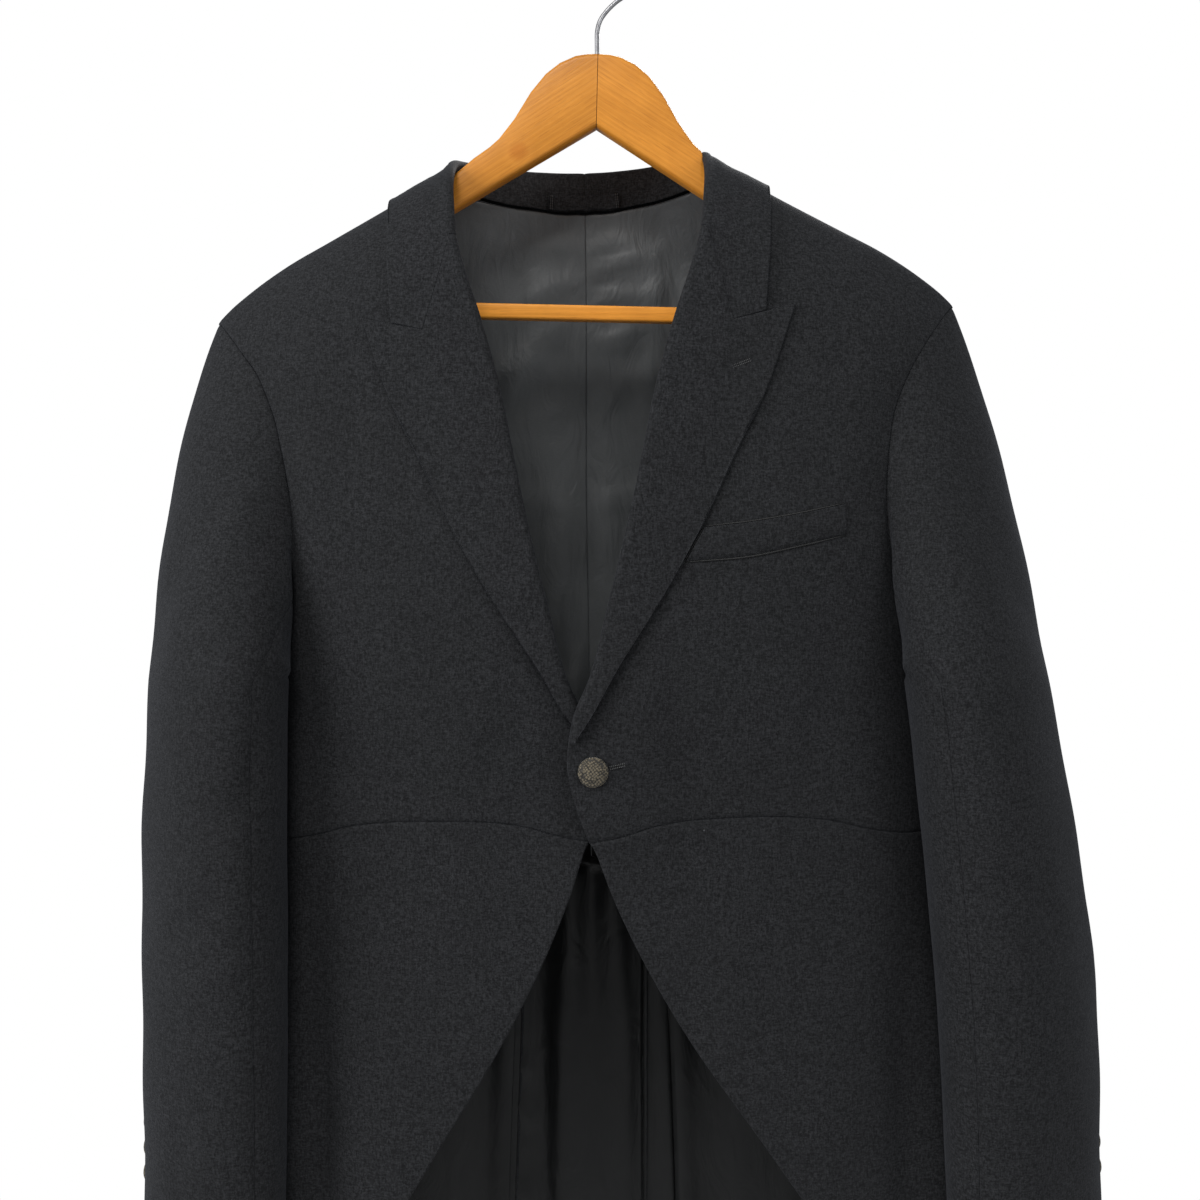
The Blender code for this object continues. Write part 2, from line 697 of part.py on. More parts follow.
def skirt_grid(side):
    """Angles, heights and lifts of a skirt, from its hem to the waist and from the cutaway edge back.

    The last columns dip under the back panel as a pleat.
    """
    v = np.concatenate([[0, 0.02, 0.05], np.linspace(0.11, 0.95, 11), [0.982, 1]])
    u = np.array([0, 0.05, 0.12, 0.20, 0.28, 0.36, 0.44, 0.52, 0.61, 0.71, 0.82, 0.92, 1])
    z = HEM_Z + (waist_z(side, 0.0) - HEM_Z) * v
    right = back_seam_tail(side, v, -0.013)
    left = stacked(smooth(CUTAWAY["z"], CUTAWAY["phi"], z), z)
    low = stacked(left[0, 0] + (right[0, 0] - left[0, 0]) * u, HEM_Z)
    top_phi = left[-1, 0] + (right[-1, 0] - left[-1, 0]) * u
    high = stacked(top_phi, waist_z(side, top_phi))
    left[-1], right[-1] = high[0], high[-1]
    grid = coons(low, high, left, right, u, v)
    dip, edge = back_seam_tail(side, v, -0.001), back_seam_tail(side, v, PLEAT_UNDERLAP)
    grid = np.concatenate([grid, dip[:, None], edge[:, None]], 1)
    lift = np.zeros(grid.shape[:2])
    lift[:, -2:] = -(CLOTH + 0.0008)
    return grid, lift


def skirt(side, look):
    grid, lift = skirt_grid(side)
    phi, z = grid[..., 0], grid[..., 1]
    return body_panel(f"skirt_{NAMES[side]}", side, phi, z, look, lift, gap=0.0006)


def skirt_lining(side, look):
    grid, lift = skirt_grid(side)
    grid, lift = grid[1:-1, 1:-2], lift[1:-1, 1:-2] - CLOTH - SEAM_GAP
    phi, z = grid[..., 0], grid[..., 1]
    return body_panel(f"lining_skirt_{NAMES[side]}", side, phi, z, look, lift, LINING)


def ridge_point(side, x, w):
    """A point near the shoulder line: w squared is the depth below it, in front if w > 0."""
    z = shoulder_z(x) - w * w
    phi = phi_at(side, x, z, np.where(w >= 0, 1, -1))
    return body(side, phi, z), body_normal(side, phi, z)


def collar_measures(side, kind, s):
    """Own x and root depth of the collar's neck seam or edge, at row s of its table."""
    x, z, face = (COLLAR[f"{kind}_{column}"] for column in ("x", "z", "face"))
    share = 1 - step(3, 8, np.arange(len(x)))
    own_x, own_z = lapel_to_body(side, x, z)
    own_x, own_z = share * own_x + (1 - share) * x, share * own_z + (1 - share) * z
    root = face * np.sqrt(np.maximum(shoulder_z(own_x) - own_z, 0))
    rows = np.arange(len(x))
    return smooth(rows, own_x, s), smooth(rows, root, s)


def neck_own(side, s):
    """(x, z) of the neck seam in the body's own measures, at row s of the collar's table."""
    x, root = collar_measures(side, "neck", s)
    return x, shoulder_z(x) - root * root


def collar_frame(side, s):
    """The collar's neck seam and fold centre, and the directions outwards and up its stand."""
    neck = ridge_point(side, *collar_measures(side, "neck", s))[0]
    rows = np.arange(len(COLLAR["fold_x"]))
    share = (1 - step(3, 8, rows))[:, None]
    own = np.stack([COLLAR["fold_x"], COLLAR["fold_z"]], -1)
    level = np.stack(lapel_to_body(side, COLLAR["fold_x"], COLLAR["fold_z"]), -1)
    own = share * level + (1 - share) * own
    centres = placed(side, own[:, 0], COLLAR["fold_y"], own[:, 1])
    roll_top = np.array([COLLAR["fold_x"][0]])
    centres[0] = front_at(side, roll_top, COLLAR["fold_z"][:1], np.array([ROLL_RADIUS - CLOTH]))[0]
    fold = smooth(rows, centres, s)
    along_fold = unit(smooth(rows, centres, s + 0.02) - smooth(rows, centres, s - 0.02))
    share = step(0, 3, s)[:, None]
    up = unit((1 - share) * np.array([-side, 0, 0.0]) + share * np.array([-0.18 * side, 0, 1.0]))
    up = unit(up - (up * along_fold).sum(-1, keepdims=True) * along_fold)
    out = side * np.cross(along_fold, up)
    if s[0] == 0:
        out[0], up[0] = roll_frame(side, np.array([-0.214, -0.210, -0.206]))[1:, -1]
        neck[0] = fold[0] - out[0] * (COLLAR_ROLL - CLOTH) - up[0] * 0.0022
    return neck, fold, out, up


def roll_frame(side, z):
    """Centres of the lapel's fold at heights z, and the directions outwards and to the middle."""
    x = smooth(ROLL["z"], ROLL["x"], z) + ROLL_RADIUS
    centre = front_at(side, x, z, ROLL_RADIUS - CLOTH + foot_lift(z))
    out = front_normal(side, x, z)
    inward = unit(np.cross(unit(np.gradient(centre, axis=0)), out)) * -side
    return np.stack([centre, out, inward])


def clear_of_shoulder(side, points, clearance):
    """Moves points of the fall out from the nearest part of the coat's surface."""
    x, w = np.meshgrid(np.linspace(0.0, 0.160, 81), np.linspace(-0.30, 0.36, 133))
    surface, normals = ridge_point(side, x, w)
    surface, normals = surface.reshape(-1, 3), normals.reshape(-1, 3)
    moved = points.copy()
    for index in np.ndindex(points.shape[:2]):
        nearest = np.argmin(((surface - points[index]) ** 2).sum(-1))
        depth = (points[index] - surface[nearest]) @ normals[nearest]
        moved[index] = points[index] + normals[nearest] * max(clearance - depth, 0)
    return moved


def collar(side, look):
    """One half of the collar: the stand, the fold and the fall, from the gorge to the centre back."""
    s = np.array([0, 0.4, 0.9, 1.4, 1.9, 2.3, 2.65, 3, 3.35, 3.7, 4.1, 4.6, 5.3, 6.1, 7, 8])
    neck, fold, out, up = collar_frame(side, s)
    stand = (neck + up * 0.0016 - out * CLOTH)[:, None]
    turn = np.radians([0, 45, 90, 135])[None, :, None]
    radial = -out[:, None] * np.cos(turn) + up[:, None] * np.sin(turn)
    roll = fold[:, None] + radial * COLLAR_ROLL
    edge, edge_normal = ridge_point(side, *collar_measures(side, "edge", s))
    edge = edge + edge_normal * (FLAT_LIFT + 0.0010)
    start = fold + out * COLLAR_ROLL
    gorge, columns = collar_end(side)
    low, high = np.concatenate([start[:1], gorge[1:]]), start[-1] + (edge[-1] - start[-1]) * columns[:, None]
    shares = (s - s[0]) / (s[-1] - s[0])
    fall = coons(low, high, start, edge, columns, shares)
    cleared = clear_of_shoulder(side, fall, CLOTH + 0.0020)
    fall = fall + (cleared - fall) * step(0, 0.5, s)[:, None, None]
    normal = grid_normals(fall, out[:, None])
    normal[0] = out[0]
    outer = np.concatenate([stand, roll, fall], 1)
    normals = np.concatenate([-out[:, None], radial, normal], 1)
    return wall(f"collar_{NAMES[side]}", inset(outer, SEAM_GAP, "bt"), normals, CLOTH, look)


def lapel_lift(x, roll_x):
    """The lapel stands proud at its roll and settles on the chest."""
    return FLAT_LIFT + (ROLL_LIFT - FLAT_LIFT) * (1 - step(0.002, 0.045, x - roll_x))


def foot_lift(z):
    """The lapel's lower end stands on the edge of the front, where it has no cut to fold round."""
    return (CLOTH + SEAM_GAP) * step(-0.4380, -0.4630, z)


def gorge_line(share):
    """The seam from the roll line down to the notch, in lapel measures."""
    top, foot = np.array([ROLL["x"][-3] + ROLL_RADIUS, GORGE_TOP[1]]), np.array(GORGE_FOOT)
    return top + (foot - top) * np.asarray(share)[:, None]


def collar_end(side):
    """The collar's front end, down the gorge seam and out to its corner, with each point's share."""
    seam = gorge_line(np.array([0, 0.33, 0.67, 1]))
    end = np.array(GORGE_FOOT) + (np.array(COLLAR_CORNER) - np.array(GORGE_FOOT)) * np.array([[0.5], [1]])
    line = np.concatenate([seam, end])
    lift = lapel_lift(line[:, 0], line[0, 0])
    lift[-1] = FLAT_LIFT + 0.0008
    lengths = np.concatenate([[0], np.cumsum(np.linalg.norm(np.diff(line, axis=0), axis=1))])
    return front_at(side, line[:, 0], line[:, 1], lift), lengths / lengths[-1]


def lapel(side, look):
    """A lapel: a half-round fold on the roll line, then the flat cloth out to its peak."""
    v = np.array([0, 0.05, 0.11, 0.18, 0.26, 0.34, 0.42, 0.5, 0.58, 0.66, 0.74, 0.82, 0.90, 0.96, 1])
    z = ROLL["z"][0] + (GORGE_TOP[1] - ROLL["z"][0]) * v
    centre_x = smooth(ROLL["z"], ROLL["x"], z) + ROLL_RADIUS
    left = np.stack([centre_x, z], -1)
    right = along(LAPEL_EDGE, v**0.9)
    right[:, 0] = np.maximum(right[:, 0], centre_x + LAPEL_FOOT)
    foot = 0.606
    u = np.array([0, 0.12, 0.26, 0.43, foot, 0.74, 0.87, 1])
    seam = gorge_line(np.clip(u / foot, 0, 1))
    past_notch = np.clip((u - foot) / (1 - foot), 0, 1)[:, None]
    tip_run = np.array(GORGE_FOOT) + (right[-1] - np.array(GORGE_FOOT)) * past_notch
    high = np.where((u <= foot)[:, None], seam, tip_run)
    low = left[0] + (right[0] - left[0]) * u[:, None]
    flat = coons(low, high, left, right, u, v)
    from_roll = flat[..., 0] - centre_x[:, None]
    lift = lapel_lift(flat[..., 0], centre_x[:, None])
    lift = lift + foot_lift(z)[:, None] * (1 - step(0.008, 0.040, from_roll))
    points = front_at(side, flat[..., 0], flat[..., 1], lift)
    normals = front_normal(side, flat[..., 0], flat[..., 1])
    centre, out, inward = roll_frame(side, z)
    turn = np.radians([0, 45, 90, 135])[None, :, None]
    radial = -out[:, None] * np.cos(turn) + inward[:, None] * np.sin(turn)
    roll = centre[:, None] + radial * ROLL_RADIUS
    outer = np.concatenate([roll, points], 1)
    normals = np.concatenate([radial, normals], 1)
    outer = inset(inset(outer, SEAM_GAP / 2, "l"), 0.0005, "t")
    return wall(f"lapel_{NAMES[side]}", outer, normals, CLOTH, look)


def front_normal(side, x, z):
    own_x, own_z = lapel_to_body(side, x, z)
    own_z = np.minimum(own_z, shoulder_z(own_x) - 0.0001)
    return body_normal(side, phi_at(side, own_x, own_z), own_z)


def clear_of_body(side, points, clearance):
    """Pushes level rings of points out of the body's section."""
    z = points[..., 2]
    for _ in range(2):
        own = side * (points[..., 0] - smooth(BODY["z"], BODY["centre"], z))
        z = points[..., 2] - smooth(BODY["z"], BODY["tilt"], points[..., 2]) * side * own
    y = points[..., 1]
    wide = half_width(side, z)
    deep = np.where(y < 0, smooth(BODY["z"], BODY["front"], z), smooth(BODY["z"], BODY["back"], z))
    power = ROUNDNESS / 2
    phi = np.degrees(np.arctan2(np.abs(own / wide) ** power, np.abs(y / deep) ** power))
    swell = clearance + np.maximum(folds(side, np.where(y < 0, phi, 180 - phi), z), 0)
    level = (np.abs(own) / (wide + swell)) ** ROUNDNESS + (np.abs(y) / (deep + swell)) ** ROUNDNESS
    grow = np.where((level < 1) & (own > 0), np.maximum(level, 0.05) ** (-1 / ROUNDNESS), 1)
    moved = points.copy()
    moved[..., 0] = points[..., 0] + side * own * (grow - 1)
    moved[..., 1] = y * grow
    return moved


def sleeve_ring(side, theta, z):
    """Points round a sleeve below the armhole: 0 outermost, 90 in front, 180 inside, 270 behind."""
    table = SLEEVE[side]
    columns = ("outer", "inner", "front", "back")
    outer, inner, front, back = (smooth(table["z"], table[name], z) for name in columns)
    turn = np.radians(theta)
    x = (outer + inner) / 2 + (outer - inner) / 2 * np.cos(turn)
    y = (front + back) / 2 - (back - front) / 2 * np.sin(turn - SLEEVE_TURN)
    centre = smooth(BODY["z"], BODY["centre"], z)
    return np.stack([centre + side * x, y, z + 0 * x], -1)


def sleeve_grid(side, theta, rows_cap, rows_arm):
    """Points of a sleeve for a grid of angles, from the armhole down to the cuff."""
    top_z, cuff_z = SLEEVE[side]["z"][-1], SLEEVE[side]["z"][0]
    arm_phi, arm_z = armhole(side, theta[0])
    start = body(side, arm_phi, arm_z)
    start_normal = body_normal(side, arm_phi, arm_z)
    from_top = 180 - np.abs(np.mod(theta, 360) - 180)
    start = start + start_normal * (step(95, 150, from_top[0]) * 0.0018)[:, None]
    rows = []
    for k, t in enumerate(rows_cap):
        low = sleeve_ring(side, theta[k], top_z)
        bend = start + (low - start) * np.array([CAP_FULLNESS[side], 0.70, 0.34])
        rows.append((1 - t) ** 2 * start + 2 * t * (1 - t) * bend + t * t * low)
    for k, t in enumerate(rows_arm):
        rows.append(sleeve_ring(side, theta[len(rows_cap) + k], top_z + (cuff_z - top_z) * t))
    grid = np.array(rows)
    reach = np.concatenate([rows_cap, np.ones(len(rows_arm))])[:, None]
    pushed = clear_of_body(side, grid, 0.0018 + (BODY_CLEARANCE - 0.0018) * step(0, 1, reach))
    return grid + (pushed - grid) * step(70, 100, from_top)[..., None], start_normal


def sleeve(side, look):
    """The top sleeve and the under sleeve, between the front seam and the hind seam."""
    rows_cap = np.array([0, 0.10, 0.22, 0.36, 0.52, 0.70, 0.86])
    rows_arm = np.array([0, 0.10, 0.20, 0.31, 0.42, 0.53, 0.64, 0.75, 0.86, 1])
    length = np.concatenate([rows_cap * 0.4, 0.4 + rows_arm * 0.6])
    hind = HIND_SEAM_TOP + (HIND_SEAM_CUFF - HIND_SEAM_TOP) * length
    fore = FRONT_SEAM + 0 * hind
    for name, low, high, count in (("topsleeve", hind, fore, 14), ("undersleeve", fore, hind + 360, 9)):
        theta = low[:, None] + (high - low)[:, None] * np.linspace(0, 1, count)[None]
        grid, start_normal = sleeve_grid(side, theta, rows_cap, rows_arm)
        ahead = sleeve_grid(side, theta + 1.5, rows_cap, rows_arm)[0]
        behind = sleeve_grid(side, theta - 1.5, rows_cap, rows_arm)[0]
        normals = unit(np.cross(np.gradient(grid, axis=0), ahead - behind)) * -side
        near_top = 180 - np.abs(np.mod(theta[0], 360) - 180)
        mitre = (1 - step(80, 125, near_top))[:, None]
        normals[0] = unit(normals[0] * (1 - mitre) + start_normal * mitre)
        grid = inset(inset(grid, 0.0006, "lrt"), 0.0010, "b")
        wall(f"{name}_{NAMES[side]}", grid, normals, CLOTH, look)


def sleeve_middle(side, z):
    """The middle of the sleeve at each height."""
    table = SLEEVE[side]
    z = np.clip(z, table["z"][0], table["z"][-1])
    x = (smooth(table["z"], table["outer"], z) + smooth(table["z"], table["inner"], z)) / 2
    y = (smooth(table["z"], table["front"], z) + smooth(table["z"], table["back"], z)) / 2
    return np.stack([smooth(BODY["z"], BODY["centre"], z) + side * (x + 0.012), y, z], -1)


def welt(look):
    """The welt of the breast pocket, on the wearer's left."""
    u, v = np.linspace(0, 1, 10), np.linspace(0, 1, 3)
    low, high = along(WELT_LOW, u), along(WELT_HIGH, u)
    flat = low[None] + (high - low)[None] * v[:, None, None]
    lift = np.full(flat.shape[:2], 0.0016 + SEAM_GAP)
    points = front_at(1, flat[..., 0], flat[..., 1], lift)
    wall("breast_welt", points, front_normal(1, flat[..., 0], flat[..., 1]), 0.0016, look)


def disc(name, centre, normal, profile, look, segments=18):
    """A turned solid on a surface: profile rows are (radius, height)."""
    normal = unit(np.asarray(normal, float))
    side_way = unit(np.cross(normal, [0.3, 0.1, 1.0]))
    up = np.cross(normal, side_way)
    angles = np.arange(segments) * 2 * math.pi / segments
    verts = []
    for radius, height in profile:
        for angle in angles:
            spoke = side_way * math.cos(angle) + up * math.sin(angle)
            verts.append(centre + normal * height + spoke * radius)
    faces = [tuple(range(segments)), tuple((len(profile) - 1) * segments + k for k in range(segments))]
    for r in range(len(profile) - 1):
        for k in range(segments):
            a, b = r * segments + k, r * segments + (k + 1) % segments
            faces.append((a, b, b + segments, a + segments))
    return add_object(name, verts, faces, look, 35)


def button_profile(radius):
    return ((radius * 0.90, 0.0), (radius, 0.0012), (radius * 0.94, 0.0024), (radius * 0.60, 0.0035))


def buttons(look):
    x, z = (np.array([value]) for value in BUTTON_XZ)
    own_x, own_z = lapel_to_body(1, x, z)
    phi = phi_at(1, own_x, own_z)
    normal = body_normal(1, phi, own_z)[0]
    spot = body(1, phi, own_z)[0] + normal * SEAM_GAP
    disc("button_front", spot, normal, button_profile(FRONT_BUTTON), look)
    for side in (1, -1):
        cuff_z = SLEEVE[side]["z"][0]
        for k in range(3):
            height = np.array([cuff_z + CUFF_BUTTON_FIRST + k * CUFF_BUTTON_STEP])
            spot, normal = sleeve_spot(side, -9.0, height)
            profile = button_profile(CUFF_BUTTON)
            name = f"button_cuff_{NAMES[side]}_{k + 1}"
            disc(name, spot + normal * 0.0006, normal, profile, look, 12)
        seam_x = BACK_SEAM_TAIL[-1][0] - 0.011
        z = np.array([-0.574])
        phi = phi_at(side, seam_x, z, -1)
        normal = body_normal(side, phi, z)[0]
        spot = body(side, phi, z)[0] + normal * 0.0004
        disc(f"button_back_{NAMES[side]}", spot, normal, button_profile(FRONT_BUTTON), look, 12)


def sleeve_spot(side, theta, z):
    """A point on the sleeve and the way it faces."""
    here = sleeve_ring(side, np.array([theta]), z)[0]
    spots = np.array([theta - 2, theta + 2])
    before, after = sleeve_ring(side, spots, z)
    above = sleeve_ring(side, np.array([theta]), z + 0.005)[0]
    below = sleeve_ring(side, np.array([theta]), z - 0.005)[0]
    normal = unit(np.cross(after - before, above - below))
    outward = here - sleeve_middle(side, z)[0]
    return here, normal if normal @ outward > 0 else -normal


def hanging_loop(look):
    """The strip inside the collar, across the centre back."""
    half = 0.0255
    grid, normals = [], []
    for x in np.linspace(-half, half, 9):
        side = 1 if x >= 0 else -1
        s = np.interp(abs(x), COLLAR["neck_x"][:5:-1], np.arange(8, 5, -1))
        neck, fold, out, up = collar_frame(side, np.array([s]))
        low = neck[0] - out[0] * CLOTH
        high = fold[0] - out[0] * COLLAR_ROLL
        grid.append([low + (high - low) * share - out[0] * 0.0023 for share in (0.08, 0.24, 0.40)])
        normals.append([-out[0]] * 3)
    wall("hanging_loop", np.array(grid), np.array(normals), 0.0012, look)


def hanger_point(x, y, drop):
    """A point of the hanger, x from its middle and drop below its crest, turned as it hangs."""
    cosine, sine = math.cos(HANGER_TURN), math.sin(HANGER_TURN)
    return (x * cosine + drop * sine, y, CREST_Z + x * sine - drop * cosine)


def coat_room(x):
    """How far x is from the coat's centre, and how high the hanger may reach there."""
    side = 1 if x > 0 else -1
    centre, tilt = smooth(BODY["z"], BODY["centre"], -0.17), smooth(BODY["z"], BODY["tilt"], -0.17)
    own = abs(x - centre)
    return own, float(shoulder_line(max(own, NECK_HALF))) + float(tilt) * side * own - HANGER_ROOM


def arm_levels(side, x):
    """Drops of an arm's top and bottom below the crest, x out from the middle."""
    last_x, last_drop = ARM_TOP[-1]
    top = float(np.interp(x, [p[0] for p in ARM_TOP], [p[1] for p in ARM_TOP]))
    top = top + 0.646 * max(x - last_x, 0)
    bottom = ARM_UNDER_DROP + ARM_UNDER_SLOPE * x
    world = hanger_point(side * x, 0, top)
    own, room = coat_room(world[0])
    fitted = top + (world[2] - room) / math.cos(HANGER_TURN)
    fitted = fitted + 0.0035 * float(step(0.14, 0.20, x)) + 0.0015 * float(step(0.12, 0.10, x))
    under_collar = float(step(0.0748, 0.0768, own + 0.002 * side))
    in_shoulder = float(step(0.100, 0.120, own))
    return top + under_collar * max(fitted - top, (fitted - top) * in_shoulder), bottom


def hanger_arm(side, look):
    """A flat wooden arm with rounded edges."""
    collar_x = 0.0640 if side > 0 else 0.0868
    xs = [p[0] for p in ARM_TOP] + [collar_x, collar_x + 0.0025]
    xs = sorted(xs + [0.1, 0.112, 0.13, 0.15, 0.17, 0.19, 0.2, ARM_END])
    half, soft = WOOD / 2, 0.0030
    rings = []
    for k, x in enumerate(xs):
        top, bottom = arm_levels(side, x)
        ring = []
        for y, drop in (
            (-half, top + soft),
            (-half + soft, top),
            (half - soft, top),
            (half, top + soft),
            (half, bottom - soft),
            (half - soft, bottom),
            (-half + soft, bottom),
            (-half, bottom - soft),
        ):
            ring.append(hanger_point(side * x, y, drop))
        rings.append(ring)
    verts = [point for ring in rings for point in ring]
    faces = [tuple(range(8)), tuple(8 * (len(xs) - 1) + k for k in range(8))]
    for r in range(len(xs) - 1):
        for k in range(8):
            a, b = r * 8 + k, r * 8 + (k + 1) % 8
            faces.append((a, b, b + 8, a + 8))
    return add_object(f"hanger_arm_{NAMES[side]}", verts, faces, look, 60)


def hanger_bar(look):
    """The square bar between the arms, cut at its ends to lie along their lower edges."""
    middle = 0.1685
    verts = []
    for side in (-1, 1):
        for drop in (middle - BAR / 2, middle + BAR / 2):
            reach = (drop - ARM_UNDER_DROP) / ARM_UNDER_SLOPE - 0.0006
            for y in (-BAR / 2, BAR / 2):
                verts.append(hanger_point(side * reach, y, drop))
    faces = [(0, 1, 3, 2), (4, 5, 7, 6), (0, 1, 5, 4), (2, 3, 7, 6), (0, 2, 6, 4), (1, 3, 7, 5)]
    return add_object("hanger_bar", verts, faces, look, 30)


def hanger_hook(look):
    """The wire hook: a stem that bends out and runs round in a ring, open on one side."""
    radius = HOOK_RADIUS + WIRE / 2
    path = [(-0.0005, CREST_Z + 0.0004), (-0.0006, -0.0700), (-0.0004, -0.0620)]
    path += [(0.0014, -0.0556), (0.0052, -0.0500)]
    for degree in range(-60, 206, 13):
        turn = math.radians(degree)
        path.append((radius * math.cos(turn), -HOOK_RADIUS + radius * math.sin(turn)))
    path = np.array(path)
    path = along(path, np.linspace(0, 1, 30))
    tangents = unit(np.gradient(path, axis=0))
    verts = []
    sides = 6
    for (x, z), (dx, dz) in zip(path, tangents):
        for k in range(sides):
            turn = 2 * math.pi * k / sides
            across, deep = WIRE / 2 * math.cos(turn), WIRE / 2 * math.sin(turn)
            verts.append((x - dz * across, deep, z + dx * across))
    faces = [tuple(range(sides)), tuple(sides * (len(path) - 1) + k for k in range(sides))]
    for r in range(len(path) - 1):
        for k in range(sides):
            a, b = r * sides + k, r * sides + (k + 1) % sides
            faces.append((a, b, b + sides, a + sides))
    return add_object("hanger_hook", verts, faces, look, 60)


def main():
    for old in list(bpy.data.objects):
        bpy.data.objects.remove(old, do_unlink=True)
    wool = material("wool", (0.020, 0.021, 0.024), 0.85)
    satin = material("satin", (0.042, 0.044, 0.048), 0.35)
    woven = material("woven_button", (0.085, 0.072, 0.056), 0.6)
    wood = material("wood", (0.62, 0.28, 0.06), 0.45)
    steel = material("steel", (0.60, 0.60, 0.60), 0.25, 1.0)
    for side in (1, -1):
        front_panel(side, wool)
        side_panel(side, wool)
        back_panel(side, wool)
        skirt(side, wool)
        lapel(side, wool)
        collar(side, wool)
        sleeve(side, wool)
        back_lining(side, satin)
        skirt_lining(side, satin)
        hanger_arm(side, wood)
    welt(wool)
    buttons(woven)
    hanging_loop(satin)
    hanger_bar(wood)
    hanger_hook(steel)


main()
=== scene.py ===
"""The looks of a cutaway tailcoat on a wooden hanger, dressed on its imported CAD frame.

Metres, +Z up. The coat's front faces -Y, and the wearer's left is +X. The cloth follows the same
formulas as the part's source, on finer grids, with creases, rounded edges and sunk seams added.
"""

import math

import bmesh
import bpy
import numpy as np
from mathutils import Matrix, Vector


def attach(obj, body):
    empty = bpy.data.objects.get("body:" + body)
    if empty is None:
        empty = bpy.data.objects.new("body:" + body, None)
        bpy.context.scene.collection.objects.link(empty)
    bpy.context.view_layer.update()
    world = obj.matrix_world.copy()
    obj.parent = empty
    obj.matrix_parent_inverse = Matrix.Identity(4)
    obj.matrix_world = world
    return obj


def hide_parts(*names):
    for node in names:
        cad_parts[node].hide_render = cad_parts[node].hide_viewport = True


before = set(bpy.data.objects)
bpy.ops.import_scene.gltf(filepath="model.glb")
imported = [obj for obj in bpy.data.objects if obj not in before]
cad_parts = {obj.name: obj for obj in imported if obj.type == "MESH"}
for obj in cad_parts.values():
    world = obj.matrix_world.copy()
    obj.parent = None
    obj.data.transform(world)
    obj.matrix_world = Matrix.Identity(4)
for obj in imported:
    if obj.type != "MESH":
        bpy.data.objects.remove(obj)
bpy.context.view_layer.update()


def finer(values, times):
    """The same rising values with more between them."""
    values = np.asarray(values, float)
    steps = np.arange((len(values) - 1) * times + 1) / times
    return np.interp(steps, np.arange(len(values)), values)



NAMES = {1: "left", -1: "right"}
# Driving sizes of the coat.
CLOTH = 0.002
LINING = 0.001
SEAM_GAP = 0.0003
SHOULDER_HALF = 0.240
TIP_Z = -0.2475
NECK_HALF = 0.085
NECK_Z = -0.1545
NAPE_Z = -0.170
WAIST_Z = -0.583
HEM_Z = -1.168
PLEAT_UNDERLAP = 0.010
VENT_UNDERLAP = 0.038
VENT_TOP_Z = -0.600
ARMHOLE_DEPTH = 0.218
# The rounded section: 2 is an ellipse, and more is squarer.
ROUNDNESS = 2.6
FRONT_SHOULDER_FALL = 0.090
BACK_SHOULDER_FALL = 0.070
NECK_RISE = 0.045
NECK_RISE_HALF = 0.095
# The over-front stands clear of the under-front round the button.
OVER_LIFT = 0.007
UNDER_SINK = 0.004
# The lapels and the collar.
LAPEL_CENTRE_X = -0.012
LAPEL_TILT = 0.034
ROLL_RADIUS = 0.0035
ROLL_LIFT = 0.005
FLAT_LIFT = 0.0027
LAPEL_FOOT = 0.0008
COLLAR_ROLL = 0.0034
# The hanger.
HOOK_RADIUS = 0.0225
WIRE = 0.003
CREST_Z = -0.0785
WOOD = 0.013
ARM_END = 0.206
HANGER_TURN = math.radians(-1.3)
BAR = 0.0098
HANGER_ROOM = 0.0042
# Buttons.
FRONT_BUTTON = 0.0093
CUFF_BUTTON = 0.0074
CUFF_BUTTON_STEP = 0.0162
CUFF_BUTTON_FIRST = 0.038


def read_table(names, rows):
    """A table as one array for each named column."""
    return {name: np.array(column, float) for name, column in zip(names.split(), zip(*rows))}
# Body sections by height: half widths of the wearer's left and right, and front and back depths.
BODY = read_table(
    "z left right front back centre tilt",
    (
        (-1.170, 0.212, 0.190, 0.044, 0.050, -0.004, 0.010),
        (-1.000, 0.230, 0.202, 0.047, 0.050, -0.004, 0.010),
        (-0.850, 0.238, 0.208, 0.050, 0.048, -0.004, 0.010),
        (-0.700, 0.232, 0.208, 0.053, 0.045, -0.004, 0.012),
        (-0.580, 0.2205, 0.204, 0.055, 0.041, -0.005, 0.014),
        (-0.480, 0.2120, 0.201, 0.062, 0.046, -0.006, 0.017),
        (-0.420, 0.211, 0.205, 0.064, 0.049, -0.007, 0.019),
        (-0.360, 0.219, 0.215, 0.062, 0.051, -0.008, 0.021),
        (-0.300, 0.231, 0.229, 0.058, 0.050, -0.008, 0.022),
        (-0.2475, 0.240, 0.240, 0.054, 0.048, -0.008, 0.023),
        (-0.100, 0.252, 0.252, 0.050, 0.050, -0.010, 0.023),
    ),
)
SHOULDER = read_table(
    "x z",
    (
        (0.000, -0.1545),
        (0.085, -0.1545),
        (0.100, -0.1610),
        (0.128, -0.1765),
        (0.167, -0.1975),
        (0.193, -0.2115),
        (0.219, -0.2290),
        (0.232, -0.2395),
        (0.240, -0.2475),
    ),
)
# The waist seam dips at the front edge and behind the arm, and rises between them.
WAIST = read_table(
    "x z",
    (
        (-0.030, -0.583),
        (0.000, -0.583),
        (0.020, -0.5795),
        (0.038, -0.5740),
        (0.056, -0.5708),
        (0.080, -0.5697),
        (0.130, -0.5703),
        (0.152, -0.5730),
        (0.168, -0.5775),
        (0.185, -0.5815),
        (0.230, -0.5850),
    ),
)
